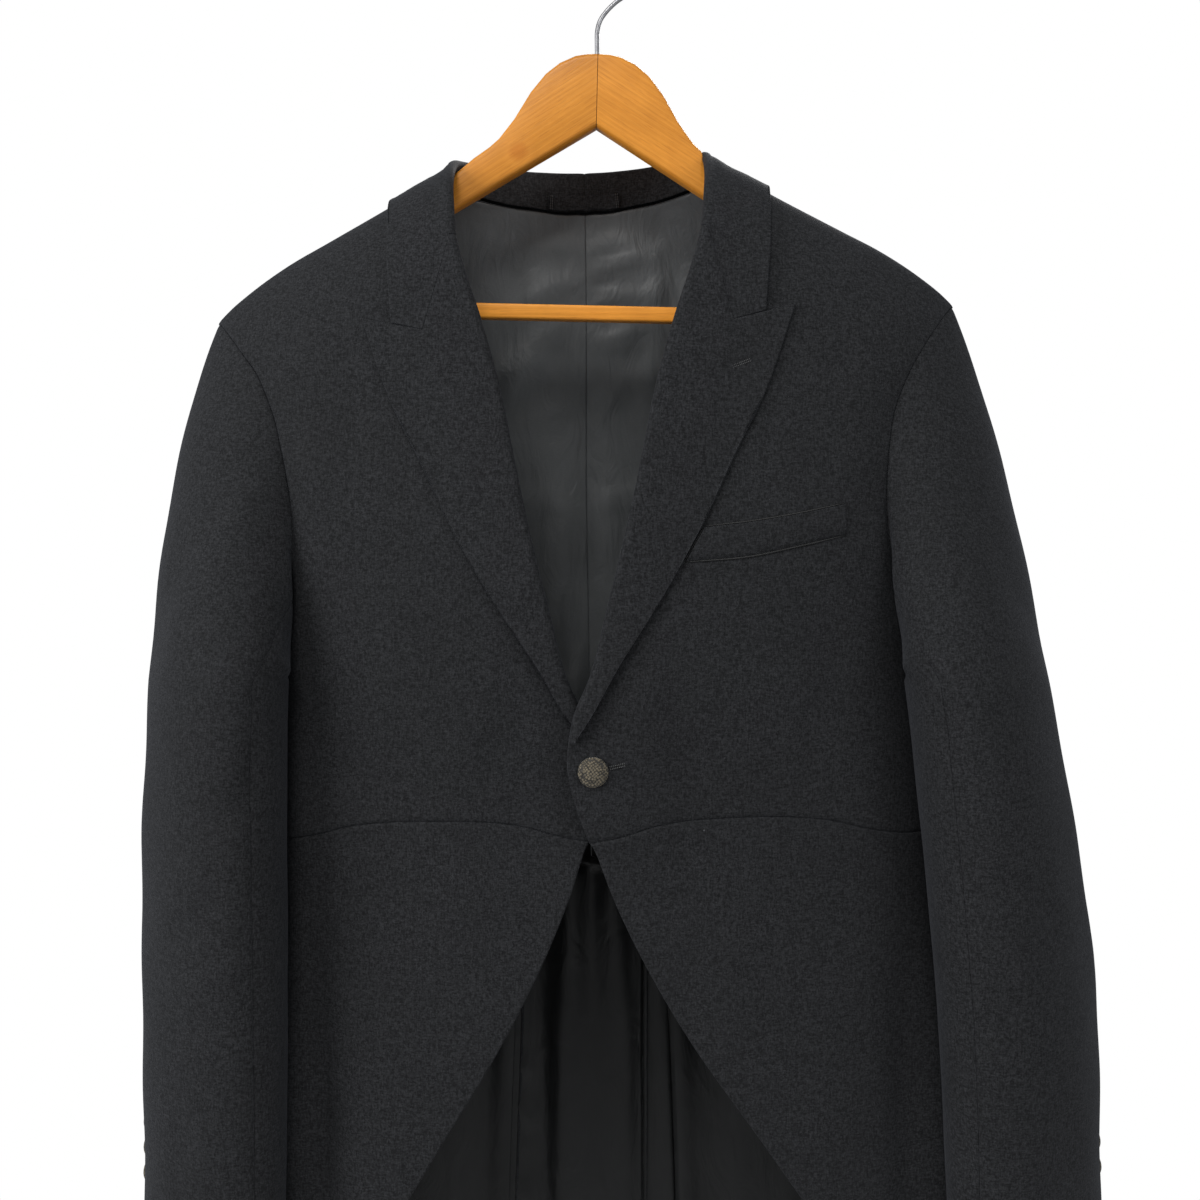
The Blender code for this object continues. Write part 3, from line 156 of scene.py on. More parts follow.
# The armhole by its own angle: 0 at the shoulder tip, 90 at the front, 180 under the arm.
ARMHOLE = read_table(
    "theta x drop face",
    (
        (0, 0.2400, 0.000, 0),
        (20, 0.2290, 0.012, 1),
        (45, 0.2090, 0.040, 1),
        (70, 0.1955, 0.072, 1),
        (90, 0.1890, 0.102, 1),
        (110, 0.1865, 0.135, 1),
        (135, 0.1900, 0.175, 1),
        (160, 0.1990, 0.206, 1),
        (180, 0.2060, 0.218, 0),
        (200, 0.2030, 0.203, -1),
        (225, 0.2005, 0.170, -1),
        (250, 0.2010, 0.132, -1),
        (270, 0.2040, 0.100, -1),
        (290, 0.2095, 0.070, -1),
        (315, 0.2210, 0.038, -1),
        (340, 0.2335, 0.012, -1),
        (360, 0.2400, 0.000, 0),
    ),
)
# The fold of the lapel, from the break above the button up to the gorge and the neck.
ROLL = read_table(
    "z x",
    (
        (-0.520, -0.0060),
        (-0.505, -0.0030),
        (-0.484, 0.0060),
        (-0.441, 0.0172),
        (-0.395, 0.0284),
        (-0.348, 0.0385),
        (-0.306, 0.0468),
        (-0.256, 0.0606),
        (-0.229, 0.0694),
        (-0.206, 0.0754),
        (-0.178, 0.0800),
        (-0.152, 0.0816),
    ),
)
LAPEL_EDGE = (
    (-0.0030, -0.5205),
    (0.0060, -0.5080),
    (0.0255, -0.4740),
    (0.0480, -0.4390),
    (0.0737, -0.3946),
    (0.0960, -0.3480),
    (0.1160, -0.3070),
    (0.1338, -0.2553),
)
GORGE_TOP = (0.0754, -0.206)
GORGE_FOOT = (0.0954, -0.2645)
COLLAR_CORNER = (0.1153, -0.2590)
# Front edges below the break, as distances from the centre of the lapels.
OVER_EDGE = (
    (-0.0060, -0.520),
    (-0.0068, -0.534),
    (-0.0044, -0.550),
    (0.0000, -0.565),
    (0.0068, -0.583),
)
UNDER_EDGE = (
    (-0.0060, -0.520),
    (-0.0150, -0.534),
    (-0.0190, -0.550),
    (-0.0160, -0.566),
    (-0.0082, -0.583),
)
# The cutaway edge of the skirt, by angle round the body: 0 at the front and 180 at the back.
CUTAWAY = read_table(
    "z phi",
    (
        (-1.168, 121.0),
        (-1.160, 115.0),
        (-1.135, 107.5),
        (-1.100, 100.0),
        (-1.050, 88.0),
        (-1.000, 75.0),
        (-0.950, 61.0),
        (-0.900, 48.0),
        (-0.850, 36.0),
        (-0.804, 26.5),
        (-0.770, 20.3),
        (-0.715, 11.2),
        (-0.660, 4.8),
        (-0.620, 1.7),
        (-0.583, 0.0),
    ),
)
# Soft folds: angle round the body, its spread, depth outwards, and the heights where it starts and is full.
FOLDS = read_table(
    "side phi spread depth start full",
    (
        (-1, 52, 7, -0.0075, -0.60, -0.78),
        (-1, 68, 8, 0.0050, -0.60, -0.78),
        (1, 55, 7, -0.0070, -0.60, -0.78),
        (1, 70, 8, 0.0055, -0.60, -0.78),
        (-1, 33, 9, 0.0030, -0.62, -0.80),
        (1, 30, 9, 0.0030, -0.62, -0.80),
        (-1, 128, 9, 0.0060, -0.66, -0.95),
        (-1, 148, 8, -0.0045, -0.66, -0.95),
        (1, 132, 10, 0.0055, -0.66, -0.95),
        (1, 152, 7, -0.0040, -0.66, -0.95),
    ),
)
# Sleeves below the armhole: outline in front view, from the coat's centre, and the two depths.
SLEEVE = {
    -1: read_table(
        "z outer inner front back",
        (
            (-0.845, 0.2885, 0.1925, -0.066, 0.022),
            (-0.790, 0.2890, 0.1915, -0.071, 0.027),
            (-0.720, 0.2900, 0.1905, -0.077, 0.033),
            (-0.640, 0.2895, 0.1900, -0.081, 0.040),
            (-0.560, 0.2895, 0.1900, -0.083, 0.047),
            (-0.485, 0.2870, 0.1885, -0.084, 0.054),
        ),
    ),
    1: read_table(
        "z outer inner front back",
        (
            (-0.842, 0.3300, 0.2250, -0.064, 0.024),
            (-0.790, 0.3290, 0.2220, -0.070, 0.029),
            (-0.720, 0.3270, 0.2185, -0.076, 0.034),
            (-0.640, 0.3215, 0.2130, -0.080, 0.041),
            (-0.560, 0.3115, 0.2060, -0.083, 0.048),
            (-0.485, 0.3000, 0.1985, -0.084, 0.055),
        ),
    ),
}
BODY_CLEARANCE = 0.0016
CAP_FULLNESS = {-1: 0.79, 1: 0.58}
SLEEVE_TURN = math.radians(24)
FRONT_SEAM = 138.0
HIND_SEAM_TOP = -82.0
HIND_SEAM_CUFF = -20.0
# The collar, from the gorge to the centre back: fold line, neck seam and lower edge.
COLLAR = read_table(
    "fold_x fold_y fold_z neck_x neck_z neck_face edge_x edge_z edge_face",
    (
        (0.0789, -0.0500, -0.2060, 0.0806, -0.2065, 1, 0.1153, -0.2590, 1),
        (0.0812, -0.0400, -0.1850, 0.0850, -0.1850, 1, 0.1170, -0.2370, 1),
        (0.0828, -0.0265, -0.1655, 0.0872, -0.1670, 1, 0.1190, -0.2080, 1),
        (0.0826, -0.0030, -0.1490, 0.0850, -0.1545, 0, 0.1205, -0.1725, 0),
        (0.0775, 0.0190, -0.1430, 0.0800, -0.1585, -1, 0.1110, -0.1810, -1),
        (0.0660, 0.0345, -0.1420, 0.0695, -0.1620, -1, 0.0870, -0.1830, -1),
        (0.0440, 0.0460, -0.1425, 0.0470, -0.1655, -1, 0.0570, -0.1830, -1),
        (0.0190, 0.0505, -0.1434, 0.0200, -0.1690, -1, 0.0240, -0.1825, -1),
        (0.0000, 0.0512, -0.1438, 0.0000, -0.1700, -1, 0.0000, -0.1825, -1),
    ),
)
# The seam between the back panel and its neighbours, from the hem to the armhole.
BACK_SEAM_TAIL = ((0.072, -1.168), (0.066, -0.980), (0.060, -0.800), (0.056, -0.680), (0.055, -0.580))
BACK_SEAM_BODICE = (
    (0.0550, -0.5800),
    (0.0590, -0.5400),
    (0.0680, -0.5000),
    (0.0840, -0.4620),
    (0.1080, -0.4340),
    (0.1390, -0.4140),
    (0.1720, -0.4010),
)
ARMHOLE_BACK = 240.0
ARMHOLE_FRONT = 165.0
FRONT_SEAM_PHI = 88.0
# The hanger's arm below the crest: distance from the middle, and how far down each edge is.
ARM_TOP = (
    (0.0002, 0.0000),
    (0.0075, 0.0004),
    (0.0145, 0.0017),
    (0.0245, 0.0064),
    (0.0335, 0.0137),
    (0.0430, 0.0258),
    (0.0535, 0.0438),
    (0.0630, 0.0566),
    (0.0690, 0.0622),
    (0.0790, 0.0696),
    (0.0890, 0.0785),
)
ARM_UNDER_DROP = 0.0476
ARM_UNDER_SLOPE = 0.622
# The welt of the breast pocket in front view: its four corners.
WELT_LOW = ((0.0655, -0.4123), (0.1060, -0.4100), (0.1340, -0.4050), (0.1652, -0.3986))
WELT_HIGH = ((0.0770, -0.3920), (0.1060, -0.3895), (0.1330, -0.3858), (0.1640, -0.3800))
BUTTON_XZ = (0.0091, -0.5387)


def smooth(xs, ys, x):
    """A smooth curve through the points (xs, ys), with xs rising, read at x."""
    xs, ys, x = np.asarray(xs, float), np.asarray(ys, float), np.asarray(x, float)
    slopes = np.gradient(ys, xs, axis=0)
    x = np.clip(x, xs[0], xs[-1])
    i = np.clip(np.searchsorted(xs, x) - 1, 0, len(xs) - 2)
    span = xs[i + 1] - xs[i]
    t = (x - xs[i]) / span
    if ys.ndim > 1:
        t, span = t[..., None], span[..., None]
    rise, steep = 3 * t**2 - 2 * t**3, t**3 - t**2
    bend = (steep - t**2 + t) * slopes[i] + steep * slopes[i + 1]
    return (1 - rise) * ys[i] + rise * ys[i + 1] + span * bend


def along(points, t):
    """A smooth line through the points, read at shares t of its length."""
    points = np.asarray(points, float)
    steps = np.linalg.norm(np.diff(points, axis=0), axis=1)
    lengths = np.concatenate([[0], np.cumsum(steps)])
    return smooth(lengths / lengths[-1], points, t)


def step(low, high, x):
    """0 at low and 1 at high, smooth between, for either order of the two."""
    t = np.clip((np.asarray(x, float) - low) / (high - low), 0, 1)
    return t * t * (3 - 2 * t)


def unit(v):
    return v / np.maximum(np.linalg.norm(v, axis=-1, keepdims=True), 1e-12)


def shoulder_z(x):
    """Height of the shoulder line, with the rise that shapes the neck between its two ends."""
    x = np.abs(np.asarray(x, float))
    line = smooth(SHOULDER["x"][1:], SHOULDER["z"][1:], x)
    inside = np.clip(1 - (x / NECK_RISE_HALF) ** 2, 0, 1)
    return line + NECK_RISE * inside**2


def overlap(side, x, z):
    """How far the fronts stand apart round the button."""
    near = 1 - step(0.005, 0.095, x)
    level = step(-0.43, -0.505, z) * (1 - 0.85 * step(-0.562, -0.625, z))
    return (OVER_LIFT if side > 0 else -UNDER_SINK) * near * level


def folds(side, phi, z):
    """Depth of the soft folds."""
    total = np.zeros(np.broadcast(phi, z).shape)
    for k in range(len(FOLDS["side"])):
        if FOLDS["side"][k] == side:
            bell = np.exp(-(((phi - FOLDS["phi"][k]) / FOLDS["spread"][k]) ** 2))
            total = total + FOLDS["depth"][k] * bell * step(FOLDS["start"][k], FOLDS["full"][k], z)
    return total


def half_width(side, z):
    return smooth(BODY["z"], BODY["left" if side > 0 else "right"], z)


def body(side, phi, z):
    """A point of the coat's outer surface, at angle phi round the body and height z."""
    phi, z = np.broadcast_arrays(np.asarray(phi, float), np.asarray(z, float))
    turn = np.radians(phi)
    sine, cosine = np.sin(turn), np.cos(turn)
    power = 2 / ROUNDNESS
    x = half_width(side, z) * np.sign(sine) * np.abs(sine) ** power
    is_front = cosine > 0
    depth = np.where(is_front, smooth(BODY["z"], BODY["front"], z), smooth(BODY["z"], BODY["back"], z))
    fall = np.where(is_front, FRONT_SHOULDER_FALL, BACK_SHOULDER_FALL)
    drop = np.clip((shoulder_z(x) - z) / fall, 0, 1)
    closing = np.sqrt(np.clip(1 - (1 - drop) ** 2, 0, 1))
    y = -np.sign(cosine) * depth * closing * np.abs(cosine) ** power
    y = y - np.where(is_front, overlap(side, x, z), 0)
    swell = folds(side, phi, z) + creases(side, x, z, cosine)
    x = x + swell * sine
    y = y - swell * cosine
    return placed(side, x, y, z)


def placed(side, x, y, z):
    """Puts a point of the level, centred coat where the coat hangs."""
    centre, tilt = smooth(BODY["z"], BODY["centre"], z), smooth(BODY["z"], BODY["tilt"], z)
    return np.stack([centre + side * x, y, z + tilt * side * x], -1)


def body_normal(side, phi, z):
    """The outward direction of the body's surface."""
    d_phi, d_z = 1.0, 0.002
    across = body(side, phi + d_phi, z) - body(side, phi - d_phi, z)
    up = body(side, phi, z + d_z) - body(side, phi, z - d_z)
    normal = unit(np.cross(across, up) * side)
    x = body_x(side, phi, z)
    ridge = 1 - step(0.0005, 0.0060, shoulder_z(x) - z)
    return unit(normal * (1 - ridge[..., None]) + shoulder_normal(side, x) * ridge[..., None])


def body_x(side, phi, z):
    sine = np.sin(np.radians(phi))
    return half_width(side, z) * np.sign(sine) * np.abs(sine) ** (2 / ROUNDNESS)


def shoulder_normal(side, x):
    """Straight up from the shoulder line, square to its slope."""
    slope = (shoulder_line(x + 0.003) - shoulder_line(x - 0.003)) / 0.006
    return unit(np.stack([-side * slope, 0 * slope, 1 + 0 * slope], -1))


def shoulder_line(x):
    return smooth(SHOULDER["x"][1:], SHOULDER["z"][1:], np.abs(x))


def phi_at(side, x, z, face=1):
    """The angle round the body of the point x from the centre, on the front (1) or back (-1)."""
    ratio = np.clip(np.abs(x) / half_width(side, z), 0, 1)
    phi = np.degrees(np.arcsin(ratio ** (ROUNDNESS / 2))) * np.sign(x + 1e-12)
    return np.where(np.asarray(face) < 0, 180 - phi, np.where(np.asarray(face) > 0, phi, 90.0))


def lapel_to_body(side, x, z):
    """From lapel measures to the body's own x and height, for a point in front view."""
    world_x = LAPEL_CENTRE_X + side * np.asarray(x, float)
    world_z = np.asarray(z, float) + LAPEL_TILT * side * x
    own_x = side * (world_x - smooth(BODY["z"], BODY["centre"], world_z))
    own_z = world_z - smooth(BODY["z"], BODY["tilt"], world_z) * side * own_x
    return own_x, own_z


def front_at(side, x, z, lift):
    """A point in lapel measures on the coat's front, moved outwards by lift."""
    own_x, own_z = lapel_to_body(side, x, z)
    own_z = np.minimum(own_z, shoulder_z(own_x) - 0.0001)
    phi = phi_at(side, own_x, own_z)
    return body(side, phi, own_z) + body_normal(side, phi, own_z) * np.asarray(lift, float)[..., None]


def armhole(side, theta):
    """(phi, z) of the armhole at its own angle theta, in degrees."""
    theta = np.mod(np.asarray(theta, float), 360.0)
    x = smooth(ARMHOLE["theta"], ARMHOLE["x"], theta)
    z = TIP_Z - smooth(ARMHOLE["theta"], ARMHOLE["drop"], theta)
    low_half = half_width(side, TIP_Z - ARMHOLE_DEPTH)
    stretch = 1 + (low_half / 0.206 - 1) * step(60, 150, np.abs(180 - np.abs(theta - 180)))
    x = np.minimum(x * stretch, half_width(side, z))
    face = np.where(theta < 180, 1, -1)
    phi = phi_at(side, x, z, face)
    on_side = (theta < 0.01) | (theta > 359.99) | (np.abs(theta - 180) < 0.01)
    return np.where(on_side, 90.0, phi), z


def coons(low, high, left, right, u, v):
    """A grid between four edges whose lines stand at shares u and v: low and high run along u."""
    u, v = np.asarray(u)[None, :, None], np.asarray(v)[:, None, None]
    ruled_v = (1 - v) * low[None] + v * high[None]
    ruled_u = (1 - u) * left[:, None] + u * right[:, None]
    corners_low = (1 - u) * (1 - v) * low[0] + u * (1 - v) * low[-1]
    corners_high = (1 - u) * v * high[0] + u * v * high[-1]
    return ruled_v + ruled_u - corners_low - corners_high


def grid_normals(grid, outward):
    """Directions square to a grid of points, on the same side as outward."""
    across, up = np.gradient(grid, axis=1), np.gradient(grid, axis=0)
    normal = unit(np.cross(across, up))
    return normal * np.where((normal * outward).sum(-1, keepdims=True) < 0, -1.0, 1.0)


def inset(grid, gap, edges="lrbt"):
    """Draws a grid's edges in by gap, so that panels lie apart at their seams."""
    out = grid.copy()
    pairs = {"l": (np.s_[:, 0], np.s_[:, 1]), "r": (np.s_[:, -1], np.s_[:, -2])}
    pairs.update({"b": (np.s_[0], np.s_[1]), "t": (np.s_[-1], np.s_[-2])})
    for name in edges:
        edge, beside = pairs[name]
        out[edge] = out[edge] + unit(grid[beside] - grid[edge]) * gap
    return out


def edge_of_front(side, z):
    """The front panel's edge in lapel measures: front edge, roll line, then the neck seam."""
    below = read_table("x z", (OVER_EDGE if side > 0 else UNDER_EDGE)[::-1])
    roll_x = smooth(ROLL["z"], ROLL["x"], z) + ROLL_RADIUS
    neck_x = smooth(COLLAR["neck_z"][:4], COLLAR["neck_x"][:4], z)
    neck = step(-0.209, -0.203, z)
    join = step(-0.520, -0.515, z)
    return (1 - join) * smooth(below["z"], below["x"], z) + join * ((1 - neck) * roll_x + neck * neck_x)


def waist_z(side, phi):
    """Height of the waist seam at an angle round the body."""
    front = smooth(WAIST["x"], WAIST["z"], body_x(side, phi, WAIST_Z))
    back = -0.585 + 0.005 * step(95, 160, phi)
    return np.where(np.asarray(phi) <= 90, front, back)


def stacked(phi, z):
    return np.stack(np.broadcast_arrays(np.asarray(phi, float), np.asarray(z, float)), -1)


def front_panel(side, look):
    """Front of the bodice: waist seam to shoulder seam, front edge to armhole."""
    v = [0, 0.045, 0.095, 0.148, 0.19, 0.25, 0.32, 0.39, 0.46, 0.53, 0.60, 0.67, 0.735, 0.80]
    v = finer(v + [0.855, 0.89, 0.925, 0.955, 0.978, 0.994, 1], 5)
    u = finer([0, 0.08, 0.17, 0.28, 0.40, 0.52, 0.64, 0.75, 0.85, 0.93, 1], 4)
    left_z = WAIST_Z + v * (NECK_Z - 0.0005 - WAIST_Z)
    left_x, left_own = lapel_to_body(side, edge_of_front(side, left_z), left_z)
    left_own[-1] = shoulder_z(left_x[-1])
    left = stacked(phi_at(side, left_x, left_own), left_own)
    join_phi, join_z = armhole(side, ARMHOLE_FRONT)
    join_v = 0.36
    seam = np.clip(v / join_v, 0, 1)
    arm_phi, arm_z = armhole(side, ARMHOLE_FRONT * (1 - np.clip((v - join_v) / (1 - join_v), 0, 1)))
    foot_z = waist_z(side, FRONT_SEAM_PHI)
    seam_phi = FRONT_SEAM_PHI + (join_phi - FRONT_SEAM_PHI) * seam
    seam_line = stacked(seam_phi, foot_z + (join_z - foot_z) * seam)
    right = np.where((v < join_v)[:, None], seam_line, stacked(arm_phi, arm_z))
    low_phi = left[0, 0] + (right[0, 0] - left[0, 0]) * u
    low = stacked(low_phi, waist_z(side, low_phi))
    top_x = left_x[-1] + (SHOULDER_HALF - left_x[-1]) * u
    high = stacked(phi_at(side, top_x, shoulder_z(top_x)), shoulder_z(top_x))
    high[-1] = right[-1]
    left[0], right[0] = low[0], low[-1]
    grid = coons(low, high, left, right, u, v)
    return body_panel(f"front_{NAMES[side]}", side, grid[..., 0], grid[..., 1], look)


def side_panel(side, look):
    """The narrow panel under the arm, from the waist seam to the armhole."""
    v, u = np.linspace(0, 1, 41), np.linspace(0, 1, 15)
    join_phi, join_z = armhole(side, ARMHOLE_FRONT)
    foot_z = waist_z(side, FRONT_SEAM_PHI)
    seam_phi = FRONT_SEAM_PHI + (join_phi - FRONT_SEAM_PHI) * v
    left = stacked(seam_phi, foot_z + (join_z - foot_z) * v)
    seam = back_seam_bodice(side, v)
    arm_phi, arm_z = armhole(side, ARMHOLE_FRONT + (ARMHOLE_BACK - ARMHOLE_FRONT) * u)
    high = stacked(arm_phi, arm_z)
    low_phi = FRONT_SEAM_PHI + (seam[0, 0] - FRONT_SEAM_PHI) * u
    low = stacked(low_phi, waist_z(side, low_phi))
    seam[0], seam[-1] = low[-1], high[-1]
    grid = coons(low, high, left, seam, u, v)
    return body_panel(f"side_{NAMES[side]}", side, grid[..., 0], grid[..., 1], look)


def back_seam_bodice(side, t):
    """(phi, z) along the back seam from the waist up to the armhole."""
    end_phi, end_z = armhole(side, ARMHOLE_BACK)
    points = np.array([*BACK_SEAM_BODICE, (abs(body_x(side, end_phi, end_z)), end_z)], float)
    line = along(points, t)
    return stacked(phi_at(side, line[:, 0], line[:, 1], -1), line[:, 1])


def back_seam_tail(side, t, inwards=0.0):
    """(phi, z) along the back seam from the hem up to the waist."""
    line = along(BACK_SEAM_TAIL, t)
    return stacked(phi_at(side, line[:, 0] - inwards, line[:, 1], -1), line[:, 1])


def back_grid(side, vent=0.0):
    """Angles and heights of a back panel and its tail, from the hem to the neck seam."""
    tail = finer([0, 0.02, 0.10, 0.21, 0.32, 0.43, 0.54, 0.65, 0.76, 0.87, 0.965, 1], 9)
    bodice = np.linspace(0, 1, 41)
    arm = finer([0, 0.16, 0.32, 0.48, 0.63, 0.76, 0.87, 0.94, 0.985, 1], 5)
    arm_phi, arm_z = armhole(side, ARMHOLE_BACK + (360 - ARMHOLE_BACK) * arm[1:])
    armhole_line = stacked(arm_phi, arm_z)
    left = np.concatenate([back_seam_tail(side, tail), back_seam_bodice(side, bodice)[1:], armhole_line])
    joins = (HEM_Z, BACK_SEAM_TAIL[-1][1], -0.415, NAPE_Z)
    centre_z = np.concatenate(
        [
            joins[0] + (joins[1] - joins[0]) * tail,
            joins[1] + (joins[2] - joins[1]) * bodice[1:],
            joins[2] + (joins[3] - joins[2]) * arm[1:],
        ]
    )
    below = centre_z < VENT_TOP_Z - 0.01
    centre_phi = 180 + np.where(below, 180 - phi_at(side, vent, centre_z, -1), 0)
    right = stacked(centre_phi, centre_z)
    u = finer([0, 0.14, 0.28, 0.42, 0.56, 0.61, 0.67, 0.77, 0.88, 1], 4)
    v = np.clip((centre_z + 0.52) / (NAPE_Z + 0.52), 0, 1) ** 1.3
    low = stacked(left[0, 0] + (right[0, 0] - left[0, 0]) * u, HEM_Z)
    neck_x = neck_own(side, 3.0)[0]
    ridge_x = neck_x + (SHOULDER_HALF - neck_x) * np.clip(1 - u / 0.56, 0, 1)
    ridge = stacked(phi_at(side, ridge_x, shoulder_z(ridge_x), -1), shoulder_z(ridge_x))
    own_x, own_z = neck_own(side, 3 + 5 * np.clip((u - 0.56) / 0.44, 0, 1))
    high = np.where((u <= 0.56)[:, None], ridge, stacked(phi_at(side, own_x, own_z, -1), own_z))
    left[-1], right[-1] = high[0], high[-1]
    return coons(low, high, left, right, u, v)


def back_lift(side, grid):
    """The right half sinks under the left half below the top of the vent."""
    if side > 0:
        return np.zeros(grid.shape[:2])
    x = body_x(side, grid[..., 0], grid[..., 1])
    depth = CLOTH + LINING + 3 * SEAM_GAP
    return -depth * step(0.036, 0.014, x) * step(VENT_TOP_Z + 0.019, VENT_TOP_Z + 0.001, grid[..., 1])


def back_panel(side, look):
    grid = back_grid(side, 0.0 if side > 0 else VENT_UNDERLAP)
    return body_panel(f"back_{NAMES[side]}", side, grid[..., 0], grid[..., 1], look, back_lift(side, grid))


def back_lining(side, look):
    """Lining inside the back and the tail, within the panel's own edges."""
    grid = back_grid(side, 0.0 if side > 0 else VENT_UNDERLAP)
    lift = back_lift(side, grid) - CLOTH - SEAM_GAP
    grid, lift = grid[1:-1, 2:], lift[1:-1, 2:]
    past_centre = grid[:, -1, 0] - 180
    grid[:, -1, 0] = 180 + past_centre * 0.75
    phi, z = grid[..., 0], grid[..., 1]
    return body_panel(f"lining_back_{NAMES[side]}", side, phi, z, look, lift, LINING)


def skirt_grid(side):
    """Angles, heights and lifts of a skirt, from its hem to the waist and from the cutaway edge back.

    The last columns dip under the back panel as a pleat.
    """
    v = finer(np.concatenate([[0, 0.02, 0.05], np.linspace(0.11, 0.95, 11), [0.982, 1]]), 8)
    u = finer([0, 0.05, 0.12, 0.20, 0.28, 0.36, 0.44, 0.52, 0.61, 0.71, 0.82, 0.92, 1], 4)
    z = HEM_Z + (waist_z(side, 0.0) - HEM_Z) * v
    right = back_seam_tail(side, v, -0.013)
    left = stacked(smooth(CUTAWAY["z"], CUTAWAY["phi"], z), z)
    low = stacked(left[0, 0] + (right[0, 0] - left[0, 0]) * u, HEM_Z)
    top_phi = left[-1, 0] + (right[-1, 0] - left[-1, 0]) * u
    high = stacked(top_phi, waist_z(side, top_phi))
    left[-1], right[-1] = high[0], high[-1]
    grid = coons(low, high, left, right, u, v)
    dip, edge = back_seam_tail(side, v, -0.001), back_seam_tail(side, v, PLEAT_UNDERLAP)
    share = np.linspace(0, 1, 5)[None, 1:, None]
    turn_in = grid[:, -1:] + (dip[:, None] - grid[:, -1:]) * share
    tucked = dip[:, None] + (edge - dip)[:, None] * share
    grid = np.concatenate([grid, turn_in, tucked], 1)
    lift = np.zeros(grid.shape[:2])
    lift[:, -4:] = -(CLOTH + 0.0008)
    lift[:, -8:-4] = -(CLOTH + 0.0008) * step(0, 1, share[..., 0])
    return grid, lift


def skirt(side, look):
    grid, lift = skirt_grid(side)
    phi, z = grid[..., 0], grid[..., 1]
    return body_panel(f"skirt_{NAMES[side]}", side, phi, z, look, lift, gap=0.0006)


def skirt_lining(side, look):
    grid, lift = skirt_grid(side)
    grid, lift = grid[1:-1, 1:-2], lift[1:-1, 1:-2] - CLOTH - SEAM_GAP
    phi, z = grid[..., 0], grid[..., 1]
    return body_panel(f"lining_skirt_{NAMES[side]}", side, phi, z, look, lift, LINING)


def ridge_point(side, x, w):
    """A point near the shoulder line: w squared is the depth below it, in front if w > 0."""
    z = shoulder_z(x) - w * w
    phi = phi_at(side, x, z, np.where(w >= 0, 1, -1))
    return body(side, phi, z), body_normal(side, phi, z)


def collar_measures(side, kind, s):
    """Own x and root depth of the collar's neck seam or edge, at row s of its table."""
    x, z, face = (COLLAR[f"{kind}_{column}"] for column in ("x", "z", "face"))
    share = 1 - step(3, 8, np.arange(len(x)))
    own_x, own_z = lapel_to_body(side, x, z)
    own_x, own_z = share * own_x + (1 - share) * x, share * own_z + (1 - share) * z
    root = face * np.sqrt(np.maximum(shoulder_z(own_x) - own_z, 0))
    rows = np.arange(len(x))
    return smooth(rows, own_x, s), smooth(rows, root, s)


def neck_own(side, s):
    """(x, z) of the neck seam in the body's own measures, at row s of the collar's table."""
    x, root = collar_measures(side, "neck", s)
    return x, shoulder_z(x) - root * root


def collar_frame(side, s):
    """The collar's neck seam and fold centre, and the directions outwards and up its stand."""
    neck = ridge_point(side, *collar_measures(side, "neck", s))[0]
    rows = np.arange(len(COLLAR["fold_x"]))
    share = (1 - step(3, 8, rows))[:, None]
    own = np.stack([COLLAR["fold_x"], COLLAR["fold_z"]], -1)
    level = np.stack(lapel_to_body(side, COLLAR["fold_x"], COLLAR["fold_z"]), -1)
    own = share * level + (1 - share) * own
    centres = placed(side, own[:, 0], COLLAR["fold_y"], own[:, 1])
    roll_top = np.array([COLLAR["fold_x"][0]])
    centres[0] = front_at(side, roll_top, COLLAR["fold_z"][:1], np.array([ROLL_RADIUS - CLOTH]))[0]
    fold = smooth(rows, centres, s)
    along_fold = unit(smooth(rows, centres, s + 0.02) - smooth(rows, centres, s - 0.02))
    share = step(0, 3, s)[:, None]
    up = unit((1 - share) * np.array([-side, 0, 0.0]) + share * np.array([-0.18 * side, 0, 1.0]))
    up = unit(up - (up * along_fold).sum(-1, keepdims=True) * along_fold)
    out = side * np.cross(along_fold, up)
    if s[0] == 0:
        out[0], up[0] = roll_frame(side, np.array([-0.214, -0.210, -0.206]))[1:, -1]
        neck[0] = fold[0] - out[0] * (COLLAR_ROLL - CLOTH) - up[0] * 0.0022
    return neck, fold, out, up


def roll_frame(side, z):
    """Centres of the lapel's fold at heights z, and the directions outwards and to the middle."""
    x = smooth(ROLL["z"], ROLL["x"], z) + ROLL_RADIUS
    centre = front_at(side, x, z, ROLL_RADIUS - CLOTH + foot_lift(z))
    out = front_normal(side, x, z)
    inward = unit(np.cross(unit(np.gradient(centre, axis=0)), out)) * -side
    return np.stack([centre, out, inward])


def clear_of_shoulder(side, points, clearance):
    """Moves points of the fall out from the nearest part of the coat's surface."""
    x, w = np.meshgrid(np.linspace(0.0, 0.160, 81), np.linspace(-0.30, 0.36, 133))
    surface, normals = ridge_point(side, x, w)
    surface, normals = surface.reshape(-1, 3), normals.reshape(-1, 3)
    moved = points.copy()
    for index in np.ndindex(points.shape[:2]):
        nearest = np.argmin(((surface - points[index]) ** 2).sum(-1))
        depth = (points[index] - surface[nearest]) @ normals[nearest]
        moved[index] = points[index] + normals[nearest] * max(clearance - depth, 0)
    return moved


